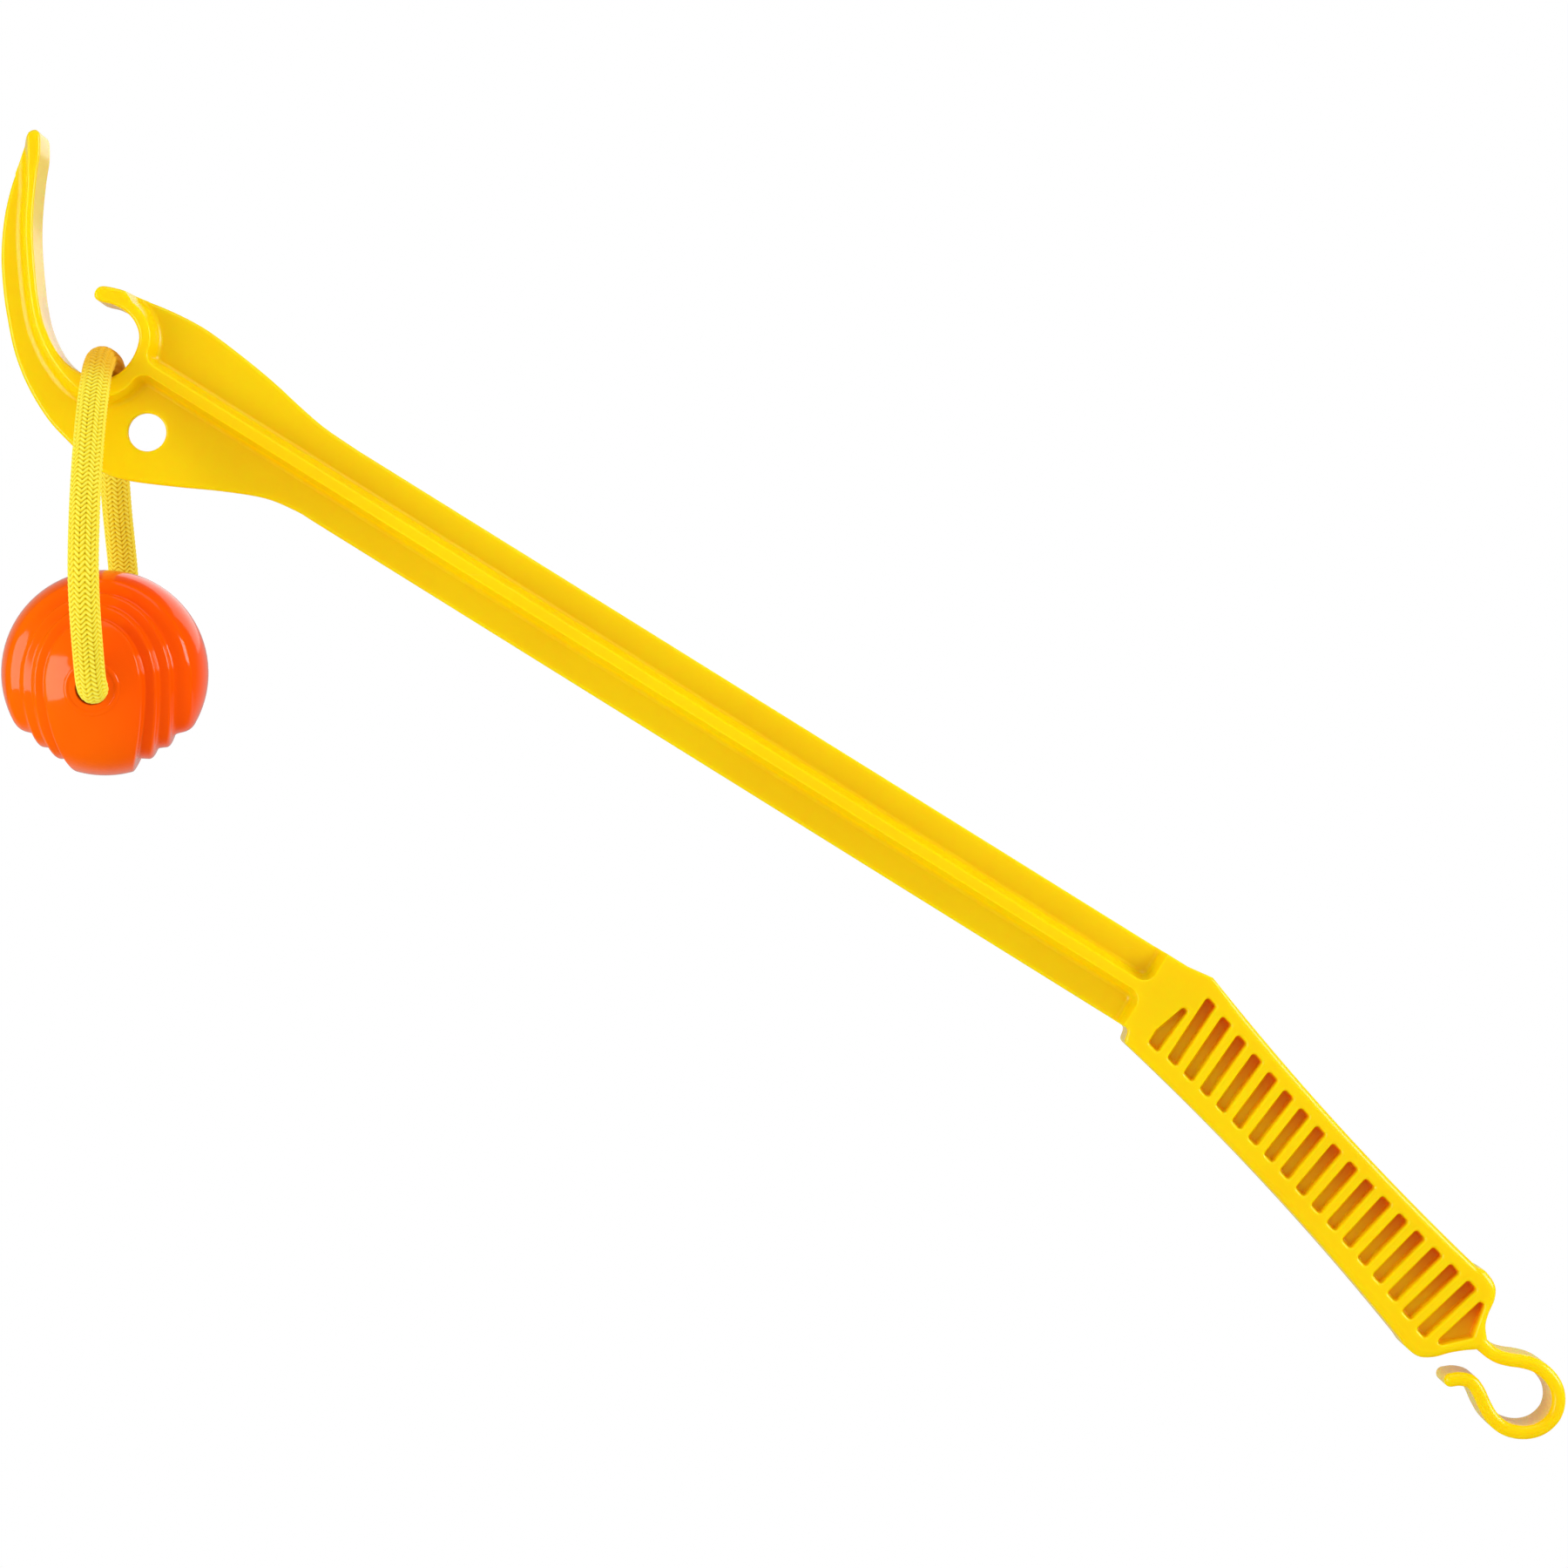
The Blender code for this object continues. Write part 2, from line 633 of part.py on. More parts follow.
def split_line():
    """The rope's line in three: front leg, bight and back leg. A leg starts on the swing axis."""
    line = whole_line()
    radius = ROPE_DIAMETER / 2
    front = [p for p in line if p.y < 0 and p.z <= 0]
    back = [p for p in line if p.y > 0 and p.z <= 0]
    arch = [p for p in line if p.z > 0]
    away = radius + SEAT_GAP
    ends = (front[-1], back[0])
    bight = [p for p in arch if min((p - e).length for e in ends) > away]
    return front[::-1], bight, back


def add_leg(name, line, parent, look):
    """A leg of the loop: its top is a half ball on the swing axis, so that it turns in its place."""
    points = evenly(line, ROPE_STEP)
    inward = (points[0] - points[1]).normalized()
    radius = ROPE_DIAMETER / 2
    dome = []
    for angle in (math.radians(80), math.radians(55), math.radians(28)):
        dome.append((points[0] + inward * radius * math.sin(angle), math.cos(angle)))
    spots = [p for p, _ in dome] + points
    radii = [r for _, r in dome] + [1.0] * len(points)
    add_tube(name, spots, radii, parent, Vector((0, 0, 0)), look)


def add_knot(parent, look):
    """The knot in the ball's hollow: a round lump with a flat at each end, where the two legs enter."""
    profile = [(0, -KNOT_HALF_LENGTH), (KNOT_END_RADIUS, -KNOT_HALF_LENGTH)]
    bulge = KNOT_RADIUS - KNOT_END_RADIUS
    for k in range(1, 6):
        angle = math.pi * k / 6
        profile.append((
            KNOT_END_RADIUS + bulge * math.sin(angle),
            -KNOT_HALF_LENGTH * math.cos(angle),
        ))
    profile += [(KNOT_END_RADIUS, KNOT_HALF_LENGTH), (0, KNOT_HALF_LENGTH)]
    obj = add_object("rope_knot", mesh_from("rope_knot", turned(profile)))
    obj.data.materials.append(look)
    obj.parent = parent
    obj.location = (0, 0, -BALL_DROP)
    obj.rotation_euler = (BORE_FALL, 0, 0)


def turned(profile):
    """A solid turned about Y from (radius, y) points; the first and the last lie on the axis."""
    bm = bmesh.new()
    verts = [bm.verts.new((radius, y, 0)) for radius, y in profile]
    edges = [bm.edges.new(pair) for pair in zip(verts, verts[1:], strict=False)]
    bmesh.ops.spin(
        bm, geom=verts + edges, cent=(0, 0, 0), axis=(0, 1, 0), dvec=(0, 0, 0),
        angle=2 * math.pi, steps=TURN_STEPS, use_merge=True, use_duplicate=False,
    )
    bmesh.ops.remove_doubles(bm, verts=bm.verts, dist=0.01 * MM)
    return bm


def make_rope(release, swing, look):
    front, bight, back = split_line()
    shift = release.location - loop_place()
    points = evenly(bight, ROPE_STEP / 2)
    add_tube("rope_bight", points, [1.0] * len(points), release, shift, look)
    add_leg("rope_front_leg", front, swing, look)
    add_leg("rope_back_leg", back, swing, look)
    add_knot(swing, look)


def ridge_quarter(top, side, foot):
    """A quarter of a ridge line on the unit ball: from over the front mouth, down the right side, to the
    ball's underside. It is an arch above the bore, and leans in below it."""
    wide = math.sin(math.radians(side))
    high = math.sin(math.radians(top))
    foot_x = math.sin(math.radians(foot))
    foot_z = math.cos(math.radians(foot))
    spots = []
    for k in range(RIDGE_STEPS):
        angle = math.pi / 2 * k / RIDGE_STEPS
        spots.append((wide * math.sin(angle), high * math.cos(angle)))
    for k in range(RIDGE_STEPS + 1):
        share = math.sin(math.pi / 2 * k / RIDGE_STEPS)
        spots.append((wide - (wide - foot_x) * share * share, -foot_z * share))
    return [Vector((x, -math.sqrt(max(0.0, 1 - x * x - z * z)), z)) for x, z in spots]


def whole_ridge(quarter):
    """The closed ridge line: the quarter mirrored to the back, then both to the left."""
    right = quarter + [Vector((p.x, -p.y, p.z)) for p in quarter[-2::-1]]
    left = [Vector((-p.x, p.y, p.z)) for p in right[-2:0:-1]]
    return right + left


def add_patch(bm, rows):
    """Faces between neighbouring rows of vertices; a row may be a single vertex."""
    for one, two in zip(rows, rows[1:], strict=False):
        count = max(len(one), len(two))
        for i in range(count - 1):
            corners = [one[min(i, len(one) - 1)], one[min(i + 1, len(one) - 1)]]
            corners += [two[min(i + 1, len(two) - 1)], two[min(i, len(two) - 1)]]
            bm.faces.new(list(dict.fromkeys(corners)))


def ball_mesh():
    """The ridged ball: rings of vertices along the ridge lines, a smooth band round the front, the
    underside and the back inside them, and a smooth cap over the top and the sides outside them."""
    radii = {
        "full": BALL_RADIUS, "ridge": BALL_RADIUS - RIDGE_DROP, "groove": BALL_RADIUS - GROOVE_DEPTH,
    }
    bm = bmesh.new()
    rings = []
    for top, side, foot, kind in RIDGE_LINES:
        line = whole_ridge(ridge_quarter(top, side, foot))
        rings.append([bm.verts.new(p * radii[kind]) for p in line])
    for inner, outer in zip(rings, rings[1:], strict=False):
        for i, vert in enumerate(inner):
            j = (i + 1) % len(inner)
            bm.faces.new((vert, inner[j], outer[j], outer[i]))
    count = len(rings[0])
    half = count // 2
    rows = [[rings[0][0]]]
    for i in range(1, half):
        rows.append(sphere_row(bm, rings[0][i], rings[0][count - i], 0, BAND_STEPS))
    rows.append([rings[0][half]])
    add_patch(bm, rows)
    quarter = count // 4
    last = rings[-1]
    rows = [[last[quarter]]]
    for i in range(1, half):
        rows.append(sphere_row(bm, last[quarter - i], last[(quarter + i) % count], 1, CAP_STEPS))
    rows.append([last[quarter - half]])
    add_patch(bm, rows)
    return mesh_from("ball", bm)


def sphere_row(bm, start, stop, axis, steps):
    """Vertices across the ball between two that mirror each other along an axis."""
    row = [start]
    from_value = start.co[axis] / BALL_RADIUS
    for k in range(1, steps):
        value = from_value * (1 - 2 * k / steps)
        scale = math.sqrt((1 - value * value) / (1 - from_value * from_value))
        place = start.co * scale
        place[axis] = value * BALL_RADIUS
        row.append(bm.verts.new(place))
    row.append(stop)
    return row


def bore_cutter():
    """The bore with its round lips and the hollow for the knot, turned about the bore."""
    lip = [
        (BORE_RADIUS + LIP_ROUND * (1 - math.cos(a)), BALL_RADIUS - LIP_ROUND * (1 - math.sin(a)))
        for a in (math.pi / 2 * k / 3 for k in range(4))
    ]
    start = math.asin(BORE_RADIUS / CAVITY_RADIUS)
    hollow = []
    for k in range(9):
        angle = start + (math.pi - 2 * start) * k / 8
        hollow.append((CAVITY_RADIUS * math.sin(angle), -CAVITY_RADIUS * math.cos(angle)))
    outer = (BORE_RADIUS + LIP_ROUND, BALL_RADIUS + CUT_OVERRUN)
    front = [(0, -outer[1]), (outer[0], -outer[1]), *((r, -y) for r, y in reversed(lip))]
    profile = [*front, *hollow, *lip, outer, (0, outer[1])]
    return add_object("bore_cutter", mesh_from("bore_cutter", turned(profile)))


def make_ball(spin):
    ball = add_object("ball", ball_mesh())
    ball.parent = spin
    cutter = bore_cutter()
    cutter.parent = spin
    cut(ball, cutter)
    ball.data.materials.append(material("orange_rubber", (0.95, 0.12, 0.0), 0.3))


def main():
    clear_scene()
    make_launcher()
    release = add_empty("release_pivot", release_place())
    swing = add_empty("swing_pivot", loop_place())
    spin = add_empty("spin_pivot", (0, 0, -BALL_DROP), swing)
    spin.rotation_euler = (BORE_FALL, 0, 0)
    make_rope(release, swing, material("yellow_rope", (0.88, 0.68, 0.02), 0.75))
    make_ball(spin)


main()
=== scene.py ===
"""Looks for the dog ball thrower: moulded yellow launcher, ridged orange rubber ball, braided rope loop.

The frame is the held pose: +X to the grip's side, +Z up, +Y through the launcher's thickness, and the
origin at the middle of the hand grip. Lengths are in metres.
"""

import math

import bmesh
import bpy
import numpy as np
from mathutils import Matrix, Vector


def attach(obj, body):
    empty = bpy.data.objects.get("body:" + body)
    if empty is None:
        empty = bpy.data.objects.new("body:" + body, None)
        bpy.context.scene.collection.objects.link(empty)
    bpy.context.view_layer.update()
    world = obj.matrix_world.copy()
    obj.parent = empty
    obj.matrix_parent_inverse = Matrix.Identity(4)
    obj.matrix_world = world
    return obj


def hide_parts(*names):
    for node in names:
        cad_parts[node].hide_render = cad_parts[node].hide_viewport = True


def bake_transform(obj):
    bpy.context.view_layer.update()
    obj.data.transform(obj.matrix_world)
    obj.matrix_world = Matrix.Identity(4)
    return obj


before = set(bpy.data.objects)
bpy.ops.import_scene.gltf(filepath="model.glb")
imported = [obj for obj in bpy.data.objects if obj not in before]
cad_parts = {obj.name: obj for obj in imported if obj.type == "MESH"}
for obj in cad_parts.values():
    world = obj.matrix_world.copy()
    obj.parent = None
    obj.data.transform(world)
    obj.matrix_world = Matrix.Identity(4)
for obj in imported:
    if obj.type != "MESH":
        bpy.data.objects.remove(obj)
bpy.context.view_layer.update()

MM = 0.001
WHITE = (1.0, 1.0, 1.0, 1.0)

# How the launcher is held: how far the blade and the grip fall to the right, below the horizontal.
BLADE_FALL = math.radians(31.9)
GRIP_FALL = math.radians(47.4)

# Launcher moulding: the solid's main sizes, with softer edges, fuller fillets and wider, shallower slots.
DEPTH = 22.0 * MM
WEB_THICKNESS = 2.8 * MM
EDGE_ROUND = 1.2 * MM
GRIP_ROUND = 2.4 * MM
RING_ROUND = 2.0 * MM
SHOULDER_ROUND_START = 9.0 * MM
SHOULDER_ROUND_REACH = 14.0 * MM
RING_ROUND_LEAD = 4.0 * MM
RING_ROUND_REACH = 8.0 * MM
WALL_DRAFT = 1.2 * MM
FOOT_FILLET = 2.2 * MM
FOOT_SINK = 0.06 * MM
WEB_EDGE_ROUND = 1.25 * MM
WEB_SHRINK = 0.02 * MM
RECESS_EDGE_ROUND = 0.6 * MM
RECESS_CORNER_ROUND = 4.0 * MM
RECESS_CORNER_CLEAR = 0.2 * MM
CLAW_WALL_EXTRA = 0.5
CLAW_WALL_REACH = 12.0 * MM
CLAW_TIP_REACH = 16.0 * MM
CLAW_TIP_RIM_EXTRA = 0.4 * MM
RECESS_OVERRUN = 9.5 * MM
CUT_OVERRUN = 5.0 * MM
EDGE_ARC_STEPS = 5
CORNER_STEPS = 6
CRISP_ANGLE = math.radians(35)

BLADE_WIDTH = 26.2 * MM
BLADE_OFFSET = 0.83 * MM
RIB_WIDTH = 3.6 * MM
SHOULDER_NOTCH_ALONG = 5.47 * MM
RECESS_END_ALONG = 7.47 * MM

SADDLE_ALONG = 382.37 * MM
SADDLE_ACROSS = -9.87 * MM
HEAD_SIZE = 100.0 * MM
RIM_WIDTH = 3.6 * MM
SADDLE_RIM_EXTRA = 2.2 * MM
CLAW_RIM_LESS = 1.2 * MM
HANG_HOLE_RADIUS = 5.9 * MM
HANG_HOLE_EDGE = 0.8 * MM
SADDLE_RIM_REACH_SHARE = 0.1

# Shares of HEAD_SIZE from the saddle, to the right and up.
INNER_EDGE_SHARES = (
    (-0.178, 0.728), (-0.180, 0.690), (-0.190, 0.625), (-0.200, 0.520), (-0.201, 0.434),
    (-0.193, 0.319), (-0.182, 0.232), (-0.164, 0.158), (-0.127, 0.083), (-0.076, 0.032),
    (0.000, 0.000), (0.058, 0.014), (0.097, 0.051), (0.120, 0.096), (0.126, 0.138),
    (0.112, 0.178), (0.085, 0.208), (0.047, 0.229), (0.015, 0.237),
)
HOOK_TIP_SHARES = ((-0.006, 0.246), (-0.012, 0.262), (-0.003, 0.280), (0.018, 0.287))
HOOK_TOP_SHARES = (
    (0.072, 0.276), (0.123, 0.256), (0.212, 0.220), (0.296, 0.178), (0.363, 0.134),
    (0.475, 0.047), (0.551, -0.018), (0.613, -0.076), (0.692, -0.144),
)
CLAW_TIP_SHARES = (
    (-0.245, 0.712), (-0.233, 0.738), (-0.221, 0.757), (-0.207, 0.768), (-0.192, 0.770), (-0.181, 0.758),
)
CLAW_RIM_END_SHARES = (
    (-0.290, 0.930), (-0.080, 0.970), (-0.080, 0.845), (-0.130, 0.820), (-0.178, 0.800),
    (-0.198, 0.787), (-0.212, 0.770), (-0.219, 0.749),
)
CLAW_OUTER_SHARES = (
    (-0.257, 0.680), (-0.285, 0.600), (-0.306, 0.505), (-0.315, 0.395), (-0.309, 0.286),
    (-0.295, 0.190), (-0.272, 0.085), (-0.231, -0.018), (-0.170, -0.118), (-0.103, -0.191),
    (-0.040, -0.252), (0.010, -0.289),
)
PLATE_BOTTOM_SHARES = (
    (0.087, -0.311), (0.230, -0.329), (0.374, -0.343), (0.507, -0.365), (0.604, -0.405),
)
HANG_HOLE_SHARES = (0.140, -0.159)
HOOK_RIM_END_SHARES = ((0.080, 0.460), (0.050, 0.318), (0.075, 0.284), (0.092, 0.260))
HOOK_RIM_END_SHARE = 0.106
BLADE_START_TOP_SHARE = 0.789
BLADE_START_BOTTOM_SHARE = 0.784
INNER_EDGE_STEPS = 6
OUTER_EDGE_STEPS = 5

GRIP_LENGTH = 136.0 * MM
GRIP_WAIST = 29.0 * MM
GRIP_FLARE = 2.6 * MM
GRIP_CORNER_ROUND = 2.0 * MM
SHOULDER_CORNER_ROUND = 1.7 * MM
SHOULDER_TOP_LEAD = 4.0 * MM
GRIP_EDGE_LEAD = 6.0 * MM
GRIP_EDGE_END_SHARE = 0.42
GRIP_STEPS = 24
SLOT_COUNT = 17
SLOT_WIDTH = 4.1 * MM
SLOT_TOP_RIM = 4.8 * MM
SLOT_BOTTOM_RIM = 6.0 * MM
SLOT_FLOOR_HALF = 6.2 * MM
SLOT_DRAFT = 0.5 * MM
SLOT_CORNER_ROUND = 1.1 * MM
SLOT_EDGE_ROUND = 1.0 * MM
SLOT_FLOOR_ROUND = 0.5 * MM
SLOT_CORNER_STEPS = 4
SLOT_FLOOR_STEPS = 3
SLOT_FIRST_SHARE = -0.433
SLOT_LAST_SHARE = 0.443
SLOT_FIRST_LEAN = math.radians(14.0)
SLOT_LAST_LEAN = math.radians(0.5)

# Shares of GRIP_WAIST: along the grip from its start or its end, and across it.
FRONT_POCKET_SHARES = ((0.178, -0.40), (0.328, -0.40), (0.165, 0.42), (0.136, -0.25))
END_POCKET_SHARES = ((-0.085, 0.465), (-0.085, -0.395), (0.150, 0.020))

# The grip's end above and below the ring hook: shares of GRIP_LENGTH along and of GRIP_WAIST across.
GRIP_TOP_END_SHARES = ((0.442, 0.600), (0.479, 0.575), (0.502, 0.475), (0.517, 0.320), (0.533, 0.205))
GRIP_BOTTOM_END_SHARES = (
    (0.542, -0.135), (0.523, -0.270), (0.505, -0.430), (0.480, -0.545), (0.444, -0.575),
)

# Painted light and shade in the grip's slots, an orange glow for the light through the walls and a darker
# orange shade at their upper ends: its soft edges, its taper over the end pocket, and across the grip from
# where to where the shade deepens.
SLOT_PAINTED_GLOW_EDGE = 1.0 * MM
SLOT_PAINTED_GLOW_START = 2.0 * MM
END_POCKET_LEAD = 2.5 * MM
END_POCKET_TAPER = 1.89
SLOT_PAINTED_SHADE_LOW = -6.0 * MM
SLOT_PAINTED_SHADE_HIGH = 12.0 * MM
PLASTIC_GLOW_REACH = 6.0 * MM
PLASTIC_BUMP = 0.05 * MM

# Ring hook: the middle line of its strip, in shares of RING_SIZE from the grip's end.
RING_SIZE = 10.0 * MM
RING_STRIP = 4.3 * MM
RING_SHARES = (
    (0.64, -0.50), (0.88, -0.72), (1.16, -0.88), (1.50, -0.97), (1.86, -1.02), (2.29, -1.15),
    (2.68, -1.44), (2.94, -1.84), (3.00, -2.30), (2.86, -2.73), (2.52, -3.06), (2.10, -3.21),
    (1.66, -3.20), (1.26, -3.05), (0.93, -2.75), (0.70, -2.36), (0.52, -1.96), (0.29, -1.66),
    (-0.04, -1.57), (-0.34, -1.60),
)
RING_STEPS = 4
RING_CAP_STEPS = 12

# Rope: its route in shares of LOOP_SIZE, out along Y and up from loop_place.
ROPE_DIAMETER = 9.68 * MM
ROPE_SIDE_STEP = 0.8 * MM
ROPE_FRONT_DRIFT = 0.6 * MM
ROPE_BACK_DRIFT = 1.4 * MM
BACK_DRIFT_RISE_SHARE = 0.15
BACK_DRIFT_HOLD_SHARE = 0.3
BACK_DRIFT_FALL_SHARE = 0.4
LOOP_SIZE = 100.0 * MM
BIGHT_ROUTE_SHARES = ((0.000, 0.058), (0.056, 0.058), (0.116, 0.049), (0.165, 0.026))
FRONT_ROUTE_SHARES = (
    (0.197, 0.000), (0.260, -0.066), (0.330, -0.154), (0.395, -0.256), (0.450, -0.370),
    (0.492, -0.490), (0.512, -0.600), (0.500, -0.688), (0.472, -0.764), (0.436, -0.832),
    (0.400, -0.893), (0.363, -0.938), (0.319, -0.961), (0.274, -0.957), (0.200, -0.943),
    (0.130, -0.931), (0.092, -0.924),
)
BACK_ROUTE_SHARES = (
    (0.197, 0.000), (0.244, -0.076), (0.286, -0.170), (0.326, -0.272), (0.368, -0.372),
    (0.410, -0.468), (0.444, -0.560), (0.460, -0.650), (0.450, -0.730), (0.416, -0.790),
    (0.372, -0.827), (0.324, -0.847), (0.274, -0.857), (0.200, -0.871), (0.130, -0.883),
    (0.091, -0.890),
)
ROPE_SPAN_STEPS = 10
ROPE_ROUND_STEPS = 96
STITCH_ROWS = 5
STITCH_COLUMNS = 16
STITCH_PITCH = 1.5 * MM
STITCH_SLANT = 1.1
STITCH_HEIGHT = 0.6 * MM
FIBRE_LINES = 4
ROPE_SLIM = 0.12 * MM
ROPE_TURN = math.radians(30)
# Painted shade on the rope, a deeper golden colour: the span along Y over which it comes onto the back leg,
# how far below the saddle's top it starts and over what height it comes on, and its strength over the top
# and on the back leg.
ROPE_SHADE_REACH = 20.0 * MM
ROPE_SHADE_DROP = 7.0 * MM
ROPE_SHADE_RISE = 12.0 * MM
TOP_PAINTED_SHADE = 1.2
BACK_PAINTED_SHADE = 0.2
ROPE_BUMP = 0.12 * MM

# Creases between stitches: width as a share of a stitch, depth as a share of STITCH_HEIGHT, and how much
# both grow towards a column's edges. The seams lie between the columns.
CREASE_WIDTH = 0.15
CREASE_WIDENING = 0.04
CREASE_DEPTH = 0.80
CREASE_DEEPENING = 0.12
SEAM_DEPTH = 0.35
SEAM_SHARPNESS = 6

# Ball: the solid's main sizes, with a bore that fits the rope more closely.
BALL_RADIUS = 32.0 * MM
BALL_DROP = 90.7 * MM
BORE_FALL = math.radians(10.3)
BORE_RADIUS = 4.95 * MM
LIP_ROUND = 1.1 * MM
CAVITY_RADIUS = 12.5 * MM
RIDGE_DROP = 1.4 * MM
GROOVE_DEPTH = 3.5 * MM
RUBBER_BUMP = 0.03 * MM
BALL_CRISP_ANGLE = math.radians(50)
TURN_STEPS = 64
LIP_STEPS = 8
HOLLOW_STEPS = 16
MERGE_DISTANCE = 0.01 * MM
FOLD_MERGE_DISTANCE = 0.05 * MM

# Ridge lines: how far from the bore the top and the side lie, how far from the lowest point the foot lies,
# in degrees, and how far below the round surface.
RIDGE_LINES = (
    (40.3, 27.8, 15.9, 0.0), (43.6, 32.0, 20.6, GROOVE_DEPTH), (52.0, 38.2, 28.4, RIDGE_DROP),
    (55.3, 42.8, 34.2, GROOVE_DEPTH), (62.8, 49.0, 41.0, RIDGE_DROP), (66.4, 53.8, 47.8, GROOVE_DEPTH),
    (71.5, 62.0, 56.0, 0.0),
)
RIDGE_STEPS = 22
INNER_BAND_TOP = 24.0
INNER_BAND_RINGS = 9
OUTER_CAP_RINGS = 10
CREST_ROOM = 2.0
CREST_SHARE = 0.42
CREST_RINGS = 6
MOUTH_RING_RADIUS = 7.6 * MM
MOUTH_RING_ROUND = 1.3 * MM
MOUTH_RING_HEIGHT = 0.35 * MM
MOUTH_RING_STEPS = 16
SLIVER_SIZE = 0.002 * MM

# Floor, camera and room. Away from its middle the floor turns into white ground. Gloss shows it white
# behind the object, along Y.
FLOOR_HEIGHT = -0.62
FLOOR_REACH = 2.4
GROUND_START = 0.7
GROUND_END = 1.7
BACK_START = 0.3
BACK_END = 1.2
LENS = 113.93
SENSOR = 36.0
CAMERA_PLACE = (-0.1637, -1.545, 0.1184)
ROOM_LIGHT = 0.68
ROOM_GLOSS = 0.02
BACK_GLOSS = 0.42
ROOM_BACK_START = 0.60
ROOM_BACK_END = 0.95

# Lamps: name, place, the point that they face, width and height in metres, and watts.
OBJECT_MIDDLE = (-0.17, 0.0, 0.12)
LAMPS = (
    ("left_softbox", (-1.55, -1.00, 0.00), (-0.30, 0.0, 0.14), 0.85, 1.2, 11),
    ("right_softbox", (1.10, -0.35, 0.50), OBJECT_MIDDLE, 0.7, 0.55, 9),
    ("top_softbox", (-0.2, -0.6, 1.6), OBJECT_MIDDLE, 1.6, 0.9, 4),
    ("back_softbox", (0.2, 1.5, 0.9), OBJECT_MIDDLE, 1.4, 0.9, 3),
)


class Wire:
    """A value in a shader. The arithmetic on it adds the nodes."""

    def __init__(self, shader, socket):
        self.shader = shader
        self.socket = socket

    def _sum(self, operation, *values):
        return self.shader.wire("ShaderNodeMath", {"operation": operation}, dict(enumerate(values)))

    def __add__(self, other):
        return self._sum("ADD", self, other)

    __radd__ = __add__

    def __sub__(self, other):
        return self._sum("SUBTRACT", self, other)

    def __rsub__(self, other):
        return self._sum("SUBTRACT", other, self)

    def __mul__(self, other):
        return self._sum("MULTIPLY", self, other)

    __rmul__ = __mul__

    def sine(self):
        return self._sum("SINE", self)

    def largest(self, other):
        return self._sum("MAXIMUM", self, other)

    def size(self):
        return self._sum("ABSOLUTE", self)

    def between(self, low, high):
        """From 0 at low to 1 at high, smoothly, and level outside."""
        settings = {"interpolation_type": "SMOOTHSTEP"}
        inputs = {"Value": self, "From Min": low, "From Max": high}
        return self.shader.wire("ShaderNodeMapRange", settings, inputs)


class Shader:
    """The nodes of one material or world."""

    def __init__(self, tree):
        self.tree = tree
        tree.nodes.clear()

    def add(self, kind, settings=None, inputs=None):
        """Any node: its type, its settings, which are set first, and its sockets' values or wires."""
        node = self.tree.nodes.new(kind)
        for name, value in (settings or {}).items():
            if name == "stops":
                self._stops(node.color_ramp, value)
            else:
                setattr(node, name, value)
        for name, value in (inputs or {}).items():
            if isinstance(value, Wire):
                self.tree.links.new(value.socket, node.inputs[name])
            else:
                node.inputs[name].default_value = value
        return node

    def wire(self, kind, settings=None, inputs=None, output=0):
        return Wire(self, self.add(kind, settings, inputs).outputs[output])

    def wires(self, node, *outputs):
        return [Wire(self, node.outputs[name]) for name in outputs]

    def place(self):
        return self.wire("ShaderNodeTexCoord", None, None, "Object")

    def split(self, vector):
        """The X, Y and Z of a vector."""
        return self.wires(self.add("ShaderNodeSeparateXYZ", None, {"Vector": vector}), *"XYZ")

    def rays(self):
        """Whether a ray comes from the camera, from a glossy surface and through a clear one."""
        names = ("Is Camera Ray", "Is Glossy Ray", "Is Transmission Ray")
        return self.wires(self.add("ShaderNodeLightPath"), *names)

    @staticmethod
    def _stops(ramp, stops):
        while len(ramp.elements) < len(stops):
            ramp.elements.new(0.5)
        for element, (place, colour) in zip(ramp.elements, stops, strict=True):
            element.position = place
            element.color = (*colour, 1.0)

    def mix(self, share, first, second):
        """A colour between two, each a wire or three numbers."""
        first, second = (end if isinstance(end, Wire) else (*end, 1.0) for end in (first, second))
        inputs = {0: share, 6: first, 7: second}
        return self.wire("ShaderNodeMix", {"data_type": "RGBA"}, inputs, 2)

    def noise(self, vector, scale, detail, roughness=0.5):
        inputs = {"Vector": vector, "Scale": scale, "Detail": detail, "Roughness": roughness}
        return self.wire("ShaderNodeTexNoise", None, inputs)


def linear(*screen):
    """A colour as it looks on a screen, 0 to 255, as the shader's own values."""
    shares = [value / 255 for value in screen]
    return tuple(s / 12.92 if s <= 0.04045 else ((s + 0.055) / 1.055) ** 2.4 for s in shares)


def new_material(name):
    made = bpy.data.materials.new(name)
    made.use_nodes = True
    return made, Shader(made.node_tree)


def finish_material(shader, settings, normal):
    body = shader.wire("ShaderNodeBsdfPrincipled", None, {**settings, "Normal": normal})
    shader.add("ShaderNodeOutputMaterial", None, {"Surface": body})


def bump(shader, height, distance, strength):
    inputs = {"Height": height, "Distance": distance, "Strength": strength}
    return shader.wire("ShaderNodeBump", None, inputs)


